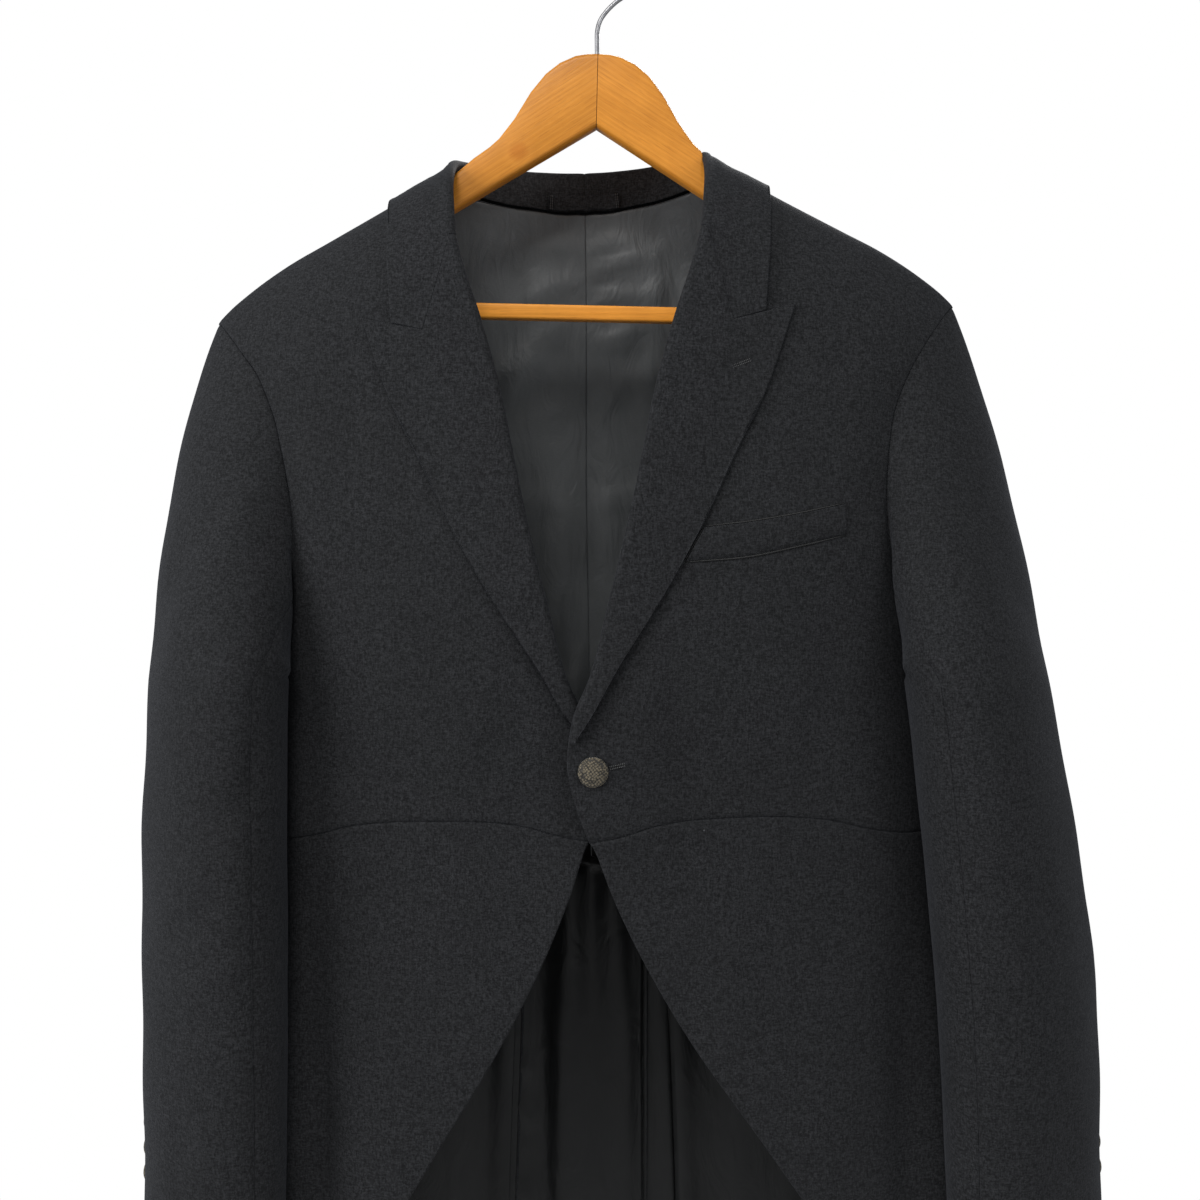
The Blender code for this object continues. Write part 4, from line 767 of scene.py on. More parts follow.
def collar(side, look):
    """One half of the collar: the stand, the fold and the fall, from the gorge to the centre back."""
    s = finer([0, 0.4, 0.9, 1.4, 1.9, 2.3, 2.65, 3, 3.35, 3.7, 4.1, 4.6, 5.3, 6.1, 7, 8], 5)
    neck, fold, out, up = collar_frame(side, s)
    stand = (neck + up * 0.0016 - out * CLOTH)[:, None]
    turn = np.radians(np.linspace(0, 135, 10))[None, :, None]
    radial = -out[:, None] * np.cos(turn) + up[:, None] * np.sin(turn)
    roll = fold[:, None] + radial * COLLAR_ROLL
    edge, edge_normal = ridge_point(side, *collar_measures(side, "edge", s))
    edge = edge + edge_normal * (FLAT_LIFT + 0.0010)
    start = fold + out * COLLAR_ROLL
    gorge, columns = collar_end(side)
    low, high = np.concatenate([start[:1], gorge[1:]]), start[-1] + (edge[-1] - start[-1]) * columns[:, None]
    shares = (s - s[0]) / (s[-1] - s[0])
    fall = coons(low, high, start, edge, columns, shares)
    cleared = clear_of_shoulder(side, fall, CLOTH + 0.0020)
    fall = fall + (cleared - fall) * step(0, 0.5, s)[:, None, None]
    normal = grid_normals(fall, out[:, None])
    normal[0] = out[0]
    outer = np.concatenate([stand, roll, fall], 1)
    normals = np.concatenate([-out[:, None], radial, normal], 1)
    return wall(f"collar_{NAMES[side]}", outer, normals, CLOTH, look)


def lapel_lift(x, roll_x):
    """The lapel stands proud at its roll and settles on the chest."""
    return FLAT_LIFT + (ROLL_LIFT - FLAT_LIFT) * (1 - step(0.002, 0.045, x - roll_x))


def foot_lift(z):
    """The lapel's lower end stands on the edge of the front, where it has no cut to fold round."""
    return 0.0008 * step(-0.4380, -0.4630, z)


def gorge_line(share):
    """The seam from the roll line down to the notch, in lapel measures."""
    top, foot = np.array([ROLL["x"][-3] + ROLL_RADIUS, GORGE_TOP[1]]), np.array(GORGE_FOOT)
    return top + (foot - top) * np.asarray(share)[:, None]


def collar_end(side):
    """The collar's front end, down the gorge seam and out to its corner, with each point's share."""
    seam = gorge_line(np.linspace(0, 1, 13))
    end = np.array(GORGE_FOOT) + (np.array(COLLAR_CORNER) - np.array(GORGE_FOOT)) * np.linspace(0, 1, 6)[1:, None]
    line = np.concatenate([seam, end])
    lift = lapel_lift(line[:, 0], line[0, 0])
    lift[-1] = FLAT_LIFT + 0.0008
    lengths = np.concatenate([[0], np.cumsum(np.linalg.norm(np.diff(line, axis=0), axis=1))])
    return front_at(side, line[:, 0], line[:, 1], lift), lengths / lengths[-1]


def lapel(side, look):
    """A lapel: a half-round fold on the roll line, then the flat cloth out to its peak."""
    v = finer([0, 0.05, 0.11, 0.18, 0.26, 0.34, 0.42, 0.5, 0.58, 0.66, 0.74, 0.82, 0.90, 0.96, 1], 5)
    z = ROLL["z"][0] + (GORGE_TOP[1] - ROLL["z"][0]) * v
    centre_x = smooth(ROLL["z"], ROLL["x"], z) + ROLL_RADIUS
    left = np.stack([centre_x, z], -1)
    right = along(LAPEL_EDGE, v**0.9)
    right[:, 0] = np.maximum(right[:, 0], centre_x + LAPEL_FOOT)
    foot = 0.606
    u = finer([0, 0.12, 0.26, 0.43, foot, 0.74, 0.87, 1], 4)
    seam = gorge_line(np.clip(u / foot, 0, 1))
    past_notch = np.clip((u - foot) / (1 - foot), 0, 1)[:, None]
    tip_run = np.array(GORGE_FOOT) + (right[-1] - np.array(GORGE_FOOT)) * past_notch
    high = np.where((u <= foot)[:, None], seam, tip_run)
    low = left[0] + (right[0] - left[0]) * u[:, None]
    flat = coons(low, high, left, right, u, v)
    from_roll = flat[..., 0] - centre_x[:, None]
    lift = lapel_lift(flat[..., 0], centre_x[:, None])
    lift = lift + foot_lift(z)[:, None] * (1 - step(0.008, 0.040, from_roll))
    points = front_at(side, flat[..., 0], flat[..., 1], lift)
    normals = front_normal(side, flat[..., 0], flat[..., 1])
    centre, out, inward = roll_frame(side, z)
    turn = np.radians(np.linspace(0, 135, 10))[None, :, None]
    radial = -out[:, None] * np.cos(turn) + inward[:, None] * np.sin(turn)
    roll = centre[:, None] + radial * ROLL_RADIUS
    outer = np.concatenate([roll, points], 1)
    normals = np.concatenate([radial, normals], 1)
    return wall(f"lapel_{NAMES[side]}", outer, normals, CLOTH, look)


def front_normal(side, x, z):
    own_x, own_z = lapel_to_body(side, x, z)
    own_z = np.minimum(own_z, shoulder_z(own_x) - 0.0001)
    return body_normal(side, phi_at(side, own_x, own_z), own_z)


def clear_of_body(side, points, clearance):
    """Pushes level rings of points out of the body's section."""
    z = points[..., 2]
    for _ in range(2):
        own = side * (points[..., 0] - smooth(BODY["z"], BODY["centre"], z))
        z = points[..., 2] - smooth(BODY["z"], BODY["tilt"], points[..., 2]) * side * own
    y = points[..., 1]
    wide = half_width(side, z)
    deep = np.where(y < 0, smooth(BODY["z"], BODY["front"], z), smooth(BODY["z"], BODY["back"], z))
    power = ROUNDNESS / 2
    phi = np.degrees(np.arctan2(np.abs(own / wide) ** power, np.abs(y / deep) ** power))
    swell = clearance + np.maximum(folds(side, np.where(y < 0, phi, 180 - phi), z), 0)
    level = (np.abs(own) / (wide + swell)) ** ROUNDNESS + (np.abs(y) / (deep + swell)) ** ROUNDNESS
    grow = np.where((level < 1) & (own > 0), np.maximum(level, 0.05) ** (-1 / ROUNDNESS), 1)
    moved = points.copy()
    moved[..., 0] = points[..., 0] + side * own * (grow - 1)
    moved[..., 1] = y * grow
    return moved


def sleeve_ring(side, theta, z):
    """Points round a sleeve below the armhole: 0 outermost, 90 in front, 180 inside, 270 behind."""
    table = SLEEVE[side]
    columns = ("outer", "inner", "front", "back")
    outer, inner, front, back = (smooth(table["z"], table[name], z) for name in columns)
    turn = np.radians(theta)
    x = (outer + inner) / 2 + (outer - inner) / 2 * np.cos(turn)
    y = (front + back) / 2 - (back - front) / 2 * np.sin(turn - SLEEVE_TURN)
    centre = smooth(BODY["z"], BODY["centre"], z)
    return np.stack([centre + side * x, y, z + 0 * x], -1)


def sleeve_grid(side, theta, rows_cap, rows_arm):
    """Points of a sleeve for a grid of angles, from the armhole down to the cuff."""
    top_z, cuff_z = SLEEVE[side]["z"][-1], SLEEVE[side]["z"][0]
    arm_phi, arm_z = armhole(side, theta[0])
    start = body(side, arm_phi, arm_z)
    start_normal = body_normal(side, arm_phi, arm_z)
    from_top = 180 - np.abs(np.mod(theta, 360) - 180)
    start = start - start_normal * (step(95, 150, from_top[0]) * 0.0008)[:, None]
    rows = []
    for k, t in enumerate(rows_cap):
        low = sleeve_ring(side, theta[k], top_z)
        bend = start + (low - start) * np.array([CAP_FULLNESS[side], 0.70, 0.34])
        row = (1 - t) ** 2 * start + 2 * t * (1 - t) * bend + t * t * low
        angle = np.mod(theta[k], 360)
        window = step(95, 130, angle) * step(190, 165, angle)
        row[:, 0] -= side * 0.006 * window * step(0, 0.15, t) * step(1, 0.7, t)
        rows.append(row)
    for k, t in enumerate(rows_arm):
        rows.append(sleeve_ring(side, theta[len(rows_cap) + k], top_z + (cuff_z - top_z) * t))
    grid = np.array(rows)
    reach = np.concatenate([rows_cap, np.ones(len(rows_arm))])[:, None]
    pushed = clear_of_body(side, grid, -0.0008 + (BODY_CLEARANCE + 0.0008) * step(0, 1, reach))
    return grid + (pushed - grid) * step(70, 100, from_top)[..., None], start_normal


def sleeve(side, look):
    """The top sleeve and the under sleeve, between the front seam and the hind seam."""
    rows_cap = finer([0, 0.10, 0.22, 0.36, 0.52, 0.70, 0.86, 1], 6)[:-1]
    rows_arm = finer([0, 0.10, 0.20, 0.31, 0.42, 0.53, 0.64, 0.75, 0.86, 1], 9)
    length = np.concatenate([rows_cap * 0.4, 0.4 + rows_arm * 0.6])
    hind = HIND_SEAM_TOP + (HIND_SEAM_CUFF - HIND_SEAM_TOP) * length
    fore = FRONT_SEAM + 0 * hind
    for name, low, high, count in (("topsleeve", hind, fore, 53), ("undersleeve", fore, hind + 360, 33)):
        theta = low[:, None] + (high - low)[:, None] * np.linspace(0, 1, count)[None]
        grid, start_normal = sleeve_grid(side, theta, rows_cap, rows_arm)
        swell = sleeve_creases(side, theta, grid[..., 2]) * step(0, 0.12, length)[:, None]
        ahead = sleeve_grid(side, theta + 1.5, rows_cap, rows_arm)[0]
        behind = sleeve_grid(side, theta - 1.5, rows_cap, rows_arm)[0]
        normals = unit(np.cross(np.gradient(grid, axis=0), ahead - behind)) * -side
        near_top = 180 - np.abs(np.mod(theta[0], 360) - 180)
        mitre = (1 - step(80, 125, near_top))[:, None]
        normals[0] = unit(normals[0] * (1 - mitre) + start_normal * mitre)
        grid = grid + normals * swell[..., None]
        wall(f"{name}_{NAMES[side]}", grid, normals, CLOTH, look)


def sleeve_middle(side, z):
    """The middle of the sleeve at each height."""
    table = SLEEVE[side]
    z = np.clip(z, table["z"][0], table["z"][-1])
    x = (smooth(table["z"], table["outer"], z) + smooth(table["z"], table["inner"], z)) / 2
    y = (smooth(table["z"], table["front"], z) + smooth(table["z"], table["back"], z)) / 2
    return np.stack([smooth(BODY["z"], BODY["centre"], z) + side * (x + 0.012), y, z], -1)


def sleeve_spot(side, theta, z):
    """A point on the sleeve and the way it faces."""
    here = sleeve_ring(side, np.array([theta]), z)[0]
    spots = np.array([theta - 2, theta + 2])
    before, after = sleeve_ring(side, spots, z)
    above = sleeve_ring(side, np.array([theta]), z + 0.005)[0]
    below = sleeve_ring(side, np.array([theta]), z - 0.005)[0]
    normal = unit(np.cross(after - before, above - below))
    outward = here - sleeve_middle(side, z)[0]
    return here, normal if normal @ outward > 0 else -normal


def hanger_point(x, y, drop):
    """A point of the hanger, x from its middle and drop below its crest, turned as it hangs."""
    cosine, sine = math.cos(HANGER_TURN), math.sin(HANGER_TURN)
    return (x * cosine + drop * sine, y, CREST_Z + x * sine - drop * cosine)


def coat_room(x):
    """How far x is from the coat's centre, and how high the hanger may reach there."""
    side = 1 if x > 0 else -1
    centre, tilt = smooth(BODY["z"], BODY["centre"], -0.17), smooth(BODY["z"], BODY["tilt"], -0.17)
    own = abs(x - centre)
    return own, float(shoulder_line(max(own, NECK_HALF))) + float(tilt) * side * own - HANGER_ROOM


def arm_levels(side, x):
    """Drops of an arm's top and bottom below the crest, x out from the middle."""
    last_x, last_drop = ARM_TOP[-1]
    top = float(np.interp(x, [p[0] for p in ARM_TOP], [p[1] for p in ARM_TOP]))
    top = top + 0.646 * max(x - last_x, 0)
    bottom = ARM_UNDER_DROP + ARM_UNDER_SLOPE * x
    world = hanger_point(side * x, 0, top)
    own, room = coat_room(world[0])
    fitted = top + (world[2] - room) / math.cos(HANGER_TURN)
    fitted = fitted + 0.0035 * float(step(0.14, 0.20, x)) + 0.0015 * float(step(0.12, 0.10, x))
    under_collar = float(step(0.0760, 0.0800, own) if side > 0 else step(0.0850, 0.0885, own))
    in_shoulder = float(step(0.100, 0.120, own))
    return top + under_collar * max(fitted - top, (fitted - top) * in_shoulder), bottom


# Soft creases on the body, as lines in the body's own x and height, on the front (1) or back (-1).
CREASES = read_table(
    "side face x0 z0 x1 z1 width depth",
    (
        (-1, 1, 0.214, -0.272, 0.186, -0.330, 0.0080, -0.0016),
        (-1, 1, 0.176, -0.262, 0.168, -0.420, 0.0130, 0.0020),
        (-1, 1, 0.150, -0.250, 0.146, -0.400, 0.0100, -0.0012),
        (-1, 1, 0.133, -0.425, 0.133, -0.566, 0.0032, -0.0007),
        (-1, 1, 0.176, -0.440, 0.172, -0.575, 0.0110, -0.0016),
        (-1, 1, 0.060, -0.470, 0.090, -0.545, 0.0120, 0.0012),
        (-1, 1, 0.020, -0.540, 0.072, -0.520, 0.0070, -0.0009),
        (-1, 1, 0.160, -0.574, 0.176, -0.566, 0.0040, -0.0010),
        (-1, 1, 0.085, -0.600, 0.070, -0.720, 0.0160, 0.0022),
        (-1, 1, 0.040, -0.610, 0.052, -0.700, 0.0120, -0.0010),
        (1, 1, 0.212, -0.270, 0.184, -0.330, 0.0080, -0.0014),
        (1, 1, 0.170, -0.265, 0.160, -0.385, 0.0120, 0.0016),
        (1, 1, 0.148, -0.430, 0.150, -0.560, 0.0110, -0.0014),
        (1, 1, 0.037, -0.468, 0.040, -0.566, 0.0075, 0.0018),
        (1, 1, 0.060, -0.470, 0.058, -0.560, 0.0100, -0.0012),
        (1, 1, 0.022, -0.545, 0.075, -0.556, 0.0060, -0.0008),
        (1, 1, 0.026, -0.530, 0.080, -0.500, 0.0070, 0.0008),
        (1, 1, 0.095, -0.600, 0.082, -0.740, 0.0160, 0.0020),
        (1, 1, 0.045, -0.610, 0.060, -0.720, 0.0130, -0.0012),
        (0, -1, 0.000, -0.196, 0.070, -0.190, 0.0070, -0.0012),
        (0, -1, 0.035, -0.225, 0.125, -0.330, 0.0140, 0.0018),
        (0, -1, 0.075, -0.215, 0.160, -0.300, 0.0120, -0.0012),
        (-1, -1, 0.176, -0.280, 0.166, -0.430, 0.0130, 0.0026),
        (-1, -1, 0.150, -0.300, 0.144, -0.430, 0.0110, -0.0020),
        (1, -1, 0.180, -0.285, 0.168, -0.425, 0.0140, 0.0028),
        (1, -1, 0.156, -0.290, 0.140, -0.445, 0.0120, -0.0020),
        (-1, -1, 0.010, -0.536, 0.110, -0.556, 0.0080, -0.0018),
        (1, -1, 0.016, -0.530, 0.120, -0.548, 0.0085, -0.0018),
        (-1, -1, 0.030, -0.508, 0.120, -0.500, 0.0090, 0.0014),
        (1, -1, 0.024, -0.505, 0.110, -0.512, 0.0090, 0.0014),
        (-1, -1, 0.090, -0.560, 0.170, -0.530, 0.0080, -0.0016),
        (1, -1, 0.095, -0.558, 0.175, -0.535, 0.0080, -0.0016),
        (-1, -1, 0.034, -0.640, 0.028, -1.160, 0.0140, 0.0032),
        (1, -1, 0.030, -0.640, 0.036, -1.160, 0.0150, 0.0030),
        (-1, -1, 0.105, -0.640, 0.110, -1.160, 0.0150, -0.0036),
        (1, -1, 0.115, -0.640, 0.104, -1.160, 0.0160, -0.0034),
    ),
)

# Soft creases of the sleeves, as lines by angle round the sleeve and height.
SLEEVE_CREASES = read_table(
    "side theta0 z0 theta1 z1 width depth",
    (
        (1, 66, -0.330, 40, -0.470, 0.0130, -0.0016),
        (1, 36, -0.478, 26, -0.760, 0.0110, 0.0018),
        (1, 118, -0.596, 60, -0.632, 0.0080, -0.0024),
        (1, 122, -0.634, 70, -0.662, 0.0085, 0.0018),
        (1, 124, -0.668, 58, -0.700, 0.0085, -0.0020),
        (1, 80, -0.720, 70, -0.830, 0.0120, -0.0014),
        (1, 150, -0.500, 110, -0.560, 0.0100, -0.0022),
        (1, 205, -0.520, 250, -0.600, 0.0110, -0.0026),
        (1, 250, -0.610, 300, -0.640, 0.0110, 0.0024),
        (1, 240, -0.660, 300, -0.700, 0.0100, -0.0022),
        (1, 320, -0.350, 300, -0.480, 0.0140, 0.0018),
        (1, 330, -0.760, 310, -0.835, 0.0120, -0.0014),
        (-1, 70, -0.340, 46, -0.490, 0.0130, -0.0018),
        (-1, 40, -0.500, 30, -0.780, 0.0120, 0.0016),
        (-1, 120, -0.606, 66, -0.640, 0.0085, -0.0022),
        (-1, 126, -0.646, 74, -0.676, 0.0085, 0.0018),
        (-1, 120, -0.684, 62, -0.708, 0.0090, -0.0018),
        (-1, 84, -0.740, 78, -0.835, 0.0110, -0.0014),
        (-1, 150, -0.510, 112, -0.575, 0.0100, -0.0020),
        (-1, 205, -0.530, 252, -0.604, 0.0110, -0.0026),
        (-1, 246, -0.620, 296, -0.652, 0.0110, 0.0024),
        (-1, 236, -0.668, 300, -0.712, 0.0100, -0.0022),
        (-1, 318, -0.345, 304, -0.470, 0.0140, 0.0018),
        (-1, 334, -0.750, 312, -0.838, 0.0120, -0.0014),
    ),
)
ARM_RADIUS = 0.050

# Wrinkles of the linings, as lines in the body's own x and height.
LINING_WRINKLES = read_table(
    "side x0 z0 x1 z1 width depth",
    (
        (-1, 0.004, -0.215, 0.060, -0.240, 0.0050, 0.0022),
        (-1, 0.010, -0.240, 0.070, -0.300, 0.0070, 0.0030),
        (-1, 0.030, -0.200, 0.050, -0.300, 0.0080, 0.0026),
        (-1, 0.003, -0.290, 0.045, -0.320, 0.0050, 0.0018),
        (-1, 0.005, -0.375, 0.060, -0.360, 0.0040, 0.0020),
        (-1, 0.020, -0.330, 0.032, -0.520, 0.0100, 0.0030),
        (-1, 0.045, -0.430, 0.006, -0.500, 0.0060, 0.0020),
        (1, 0.003, -0.210, 0.050, -0.200, 0.0045, 0.0024),
        (1, 0.004, -0.232, 0.055, -0.222, 0.0050, 0.0026),
        (1, 0.003, -0.262, 0.048, -0.240, 0.0060, 0.0028),
        (1, 0.055, -0.200, 0.036, -0.330, 0.0080, 0.0034),
        (1, 0.004, -0.305, 0.040, -0.280, 0.0050, 0.0022),
        (1, 0.004, -0.372, 0.050, -0.352, 0.0045, 0.0020),
        (1, 0.016, -0.330, 0.024, -0.520, 0.0090, 0.0028),
        (1, 0.040, -0.420, 0.060, -0.540, 0.0100, 0.0024),
        (-1, 0.004, -0.470, 0.024, -0.800, 0.0110, 0.0060),
        (-1, 0.022, -0.700, 0.026, -1.080, 0.0120, 0.0046),
        (-1, 0.050, -0.748, 0.038, -0.756, 0.0038, 0.0030),
        (-1, 0.052, -0.776, 0.037, -0.788, 0.0036, 0.0032),
        (-1, 0.052, -0.802, 0.038, -0.806, 0.0034, 0.0028),
        (-1, 0.052, -0.834, 0.037, -0.846, 0.0040, 0.0032),
        (-1, 0.052, -0.880, 0.038, -0.888, 0.0036, 0.0028),
        (-1, 0.080, -0.540, 0.100, -1.100, 0.0140, 0.0040),
        (-1, 0.130, -0.540, 0.126, -1.100, 0.0140, 0.0034),
        (1, 0.046, -0.500, 0.052, -0.940, 0.0090, 0.0030),
        (1, 0.020, -0.900, 0.034, -1.130, 0.0090, 0.0036),
        (1, 0.060, -0.700, 0.074, -1.120, 0.0120, 0.0040),
        (1, 0.100, -0.540, 0.112, -1.100, 0.0140, 0.0036),
        (1, 0.140, -0.540, 0.136, -1.100, 0.0140, 0.0030),
    ),
)


def crease_lines(table, which, x, z, scale_x=1.0):
    """Summed depth of uneven soft lines at points (x, z)."""
    total = np.zeros(np.broadcast(x, z).shape)
    first, last = [name for name in table if name.endswith("0") and name != "z0"][0], None
    last = first[:-1] + "1"
    for k in np.flatnonzero(which):
        start = np.array([table[first][k] * scale_x, table["z0"][k]])
        run = np.array([table[last][k] * scale_x, table["z1"][k]]) - start
        length = np.hypot(*run)
        t = ((x - start[0]) * run[0] + (z - start[1]) * run[1]) / length**2
        off = ((x - start[0]) * run[1] - (z - start[1]) * run[0]) / length
        width = table["width"][k] * (0.85 + 0.3 * t)
        off = off + width * (0.45 * np.sin(4.4 * t + 1.7 * k) + 0.20 * np.sin(10.3 * t + 2.9 * k))
        ends = step(-0.12, 0.28, t) * step(1.14, 0.70, t)
        uneven = 0.86 + 0.16 * np.sin(7.1 * t + 3.3 * k)
        total = total + table["depth"][k] * uneven * ends * np.exp(-((off / np.maximum(width, 0.001)) ** 2))
    return total


def creases(side, x, z, cosine):
    """Creases and a slight unevenness of the cloth, fading out towards the shoulder line."""
    total = 0
    for face in (1, -1):
        facing = step(-0.10, 0.25, face * cosine)
        which = ((CREASES["side"] == side) | (CREASES["side"] == 0)) & (CREASES["face"] == face)
        total = total + facing * crease_lines(CREASES, which, np.abs(x), z)
    a = 0.00028 * np.sin(47 * x * side + 23 * z + 1.0) * np.sin(31 * z - 19 * x * side)
    b = 0.00020 * np.sin(83 * z + 37 * x * side + 2.0) * np.sin(71 * x * side - 29 * z + 0.5)
    fade = step(0.006, 0.040, shoulder_z(x) - z)
    return (total + a + b) * fade


def sleeve_creases(side, theta, z):
    """Creases of a sleeve, at an angle round it and a height."""
    total = 0
    for turn in (-360, 0, 360):
        total = total + crease_lines(
            SLEEVE_CREASES, SLEEVE_CREASES["side"] == side, np.radians(theta + turn) * ARM_RADIUS, z,
            math.radians(ARM_RADIUS),
        )
    turn = np.radians(theta)
    soft = 0.00035 * np.sin(2 * turn + 41 * z) * np.sin(33 * z + 1.3) + 0.00022 * np.sin(3 * turn - 77 * z)
    return total + soft


def widened(lines, distances):
    """Adds lines beside the first and the last, at distances in metres."""
    points, directions = lines
    near, far = [], []
    for a, b, out in ((0, 1, near), (-1, -2, far)):
        span = np.maximum(np.linalg.norm(points[b] - points[a], axis=-1, keepdims=True), 1e-9)
        for distance in distances:
            share = np.clip(distance / span, 0, 0.42 * distance / distances[-1] * 2)
            out.append([values[a] + (values[b] - values[a]) * share for values in (points, directions)])
    grown = []
    for k, values in enumerate((points, directions)):
        low, high = [x[k] for x in near], [x[k] for x in far][::-1]
        grown.append(np.concatenate([values[:1], low, values[1:-1], high, values[-1:]]))
    return grown


BESIDE = (0.0012, 0.0030)
SINK = np.array([0.00110, 0.00050, 0.00008])
SEAM_DEPTH = {"collar": 0.30, "lapel": 0.35, "topsleeve": 0.40, "undersleeve": 0.40, "back": 0.60, "side": 0.60}
FREE, SEAM = (1.0, 1.0), (0.45, 0.40)
EDGES = {
    "front": {"l": FREE, "r": SEAM, "b": SEAM, "t": SEAM},
    "side": {"l": SEAM, "r": SEAM, "b": SEAM, "t": SEAM},
    "back": {"l": SEAM, "r": SEAM, "b": FREE, "t": SEAM},
    "skirt": {"l": FREE, "r": FREE, "b": FREE, "t": SEAM},
    "lapel": {"l": SEAM, "r": FREE, "b": FREE, "t": SEAM},
    "collar": {"l": SEAM, "r": FREE, "b": SEAM, "t": SEAM},
    "topsleeve": {"l": SEAM, "r": SEAM, "b": SEAM, "t": FREE},
    "undersleeve": {"l": SEAM, "r": SEAM, "b": SEAM, "t": FREE},
    "lining": {"l": FREE, "r": FREE, "b": FREE, "t": FREE},
    "breast": {"l": FREE, "r": FREE, "b": SEAM, "t": FREE},
    "hanging": {"l": FREE, "r": FREE, "b": FREE, "t": FREE},
    "tape": {"l": FREE, "r": FREE, "b": FREE, "t": FREE},
}


def cloth_shell(name, outer, normals, thickness, edges, inner_from=None):
    """A shell of cloth with rounded edges: points, faces, each face's side and each point's place."""
    outer, normals = widened((outer, normals), BESIDE)
    turned = [np.swapaxes(values, 0, 1) for values in (outer, normals)]
    outer, normals = (np.swapaxes(values, 0, 1) for values in widened(turned, BESIDE))
    normals = unit(normals)
    rows, cols = outer.shape[:2]
    sink = np.zeros((rows, cols))
    for key, view in (("b", sink), ("t", sink[::-1]), ("l", sink.T), ("r", sink.T[::-1])):
        if edges[key] is SEAM:
            for k, depth in enumerate(SINK):
                view[k] = np.maximum(view[k], depth)
    surface = outer - normals * sink[..., None] * SEAM_DEPTH.get(name.split("_")[0], 1.0)
    inner = outer - normals * thickness
    ring = [(0, c) for c in range(cols)] + [(r, cols - 1) for r in range(1, rows)]
    ring += [(rows - 1, c) for c in range(cols - 2, -1, -1)] + [(r, 0) for r in range(rows - 2, 0, -1)]
    half = thickness / 2
    out_way, width, depth = [], [], []
    for r, c in ring:
        way, shape = np.zeros(3), []
        for here, beside, key in (
            (r == 0, (1, c), "b"),
            (r == rows - 1, (rows - 2, c), "t"),
            (c == 0, (r, 1), "l"),
            (c == cols - 1, (r, cols - 2), "r"),
        ):
            if here:
                way = way + unit(surface[r, c] - surface[beside])
                shape.append(edges[key])
        out_way.append(unit(way))
        width.append(min(s[0] for s in shape) * half)
        depth.append(min(s[1] for s in shape) * half)
    ring = np.array(ring)
    at = (ring[:, 0], ring[:, 1])
    out_way, width, depth = np.array(out_way), np.array(width)[:, None], np.array(depth)[:, None]
    border_out, border_in, square = surface[at], inner[at], normals[at]
    loops = []
    for angle in (60, 30, 0):
        sine, cosine = math.sin(math.radians(angle)), math.cos(math.radians(angle))
        loops.append(border_out - square * depth * (1 - sine) + out_way * width * (cosine - 1))
    for angle in (0, 30, 60):
        sine, cosine = math.sin(math.radians(angle)), math.cos(math.radians(angle))
        loops.append(border_in + square * depth * (1 - sine) + out_way * width * (cosine - 1))
    surface[at] = border_out - out_way * width
    inner[at] = border_in - out_way * width
    across = np.concatenate([np.zeros((rows, 1)), np.cumsum(np.linalg.norm(np.diff(outer, axis=1), axis=-1), 1)], 1)
    upward = np.concatenate([np.zeros((1, cols)), np.cumsum(np.linalg.norm(np.diff(outer, axis=0), axis=-1), 0)])
    place = np.stack([across - across.mean(1, keepdims=True), upward], -1)
    count = rows * cols
    points = np.concatenate([surface.reshape(-1, 3), inner.reshape(-1, 3), *loops])
    places = np.concatenate([place.reshape(-1, 2)] * 2 + [place[at]] * len(loops))
    r, c = np.meshgrid(np.arange(rows - 1), np.arange(cols - 1), indexing="ij")
    a = (r * cols + c).ravel()
    front = np.stack([a, a + 1, a + cols + 1, a + cols], -1)
    behind = np.stack([a, a + cols, a + cols + 1, a + 1], -1) + count
    ids = ring[:, 0] * cols + ring[:, 1]
    n = len(ids)
    chain = [ids] + [2 * count + k * n + np.arange(n) for k in range(len(loops))] + [ids + count]
    faces, kinds = [front, behind], [np.zeros(len(front)), np.ones(len(behind))]
    if inner_from is not None:
        kinds[1] = inner_from(r.ravel() / (rows - 1), c.ravel() / (cols - 1)).astype(float)
    for low, high in zip(chain, chain[1:]):
        faces.append(np.stack([low, high, np.roll(high, -1), np.roll(low, -1)], -1))
        kinds.append(np.zeros(n))
    cut = (across[:, -1].max(), upward[-1].max())
    quads = outer[1:, 1:] - outer[:-1, :-1], outer[1:, :-1] - outer[:-1, 1:]
    area = 0.5 * np.linalg.norm(np.cross(*quads), axis=-1).sum()
    return points, np.concatenate(faces), np.concatenate(kinds), places, cut, area


def mesh_object(name, points, faces, looks, kinds=None, places=None, smooth_angle=None):
    """A mesh object from arrays, with outward faces."""
    mesh = bpy.data.meshes.new(name)
    mesh.from_pydata(np.asarray(points, float).tolist(), [], [list(map(int, f)) for f in faces])
    for look in looks:
        mesh.materials.append(look)
    if kinds is not None:
        mesh.polygons.foreach_set("material_index", np.asarray(kinds, int))
    if places is not None:
        layer = mesh.uv_layers.new(name="cloth")
        index = np.zeros(len(mesh.loops), int)
        mesh.loops.foreach_get("vertex_index", index)
        layer.data.foreach_set("uv", np.asarray(places, float)[index].ravel())
    work = bmesh.new()
    work.from_mesh(mesh)
    bmesh.ops.recalc_face_normals(work, faces=work.faces)
    if work.calc_volume(signed=True) < 0:
        bmesh.ops.reverse_faces(work, faces=work.faces)
    work.to_mesh(mesh)
    work.free()
    mesh.shade_smooth()
    if smooth_angle:
        mesh.set_sharp_from_angle(angle=math.radians(smooth_angle))
    made = bpy.data.objects.new(name, mesh)
    bpy.context.scene.collection.objects.link(made)
    return made


def place_piece(made, slot, *nodes):
    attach(made, "root")
    if nodes:
        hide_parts(*nodes)
    return made


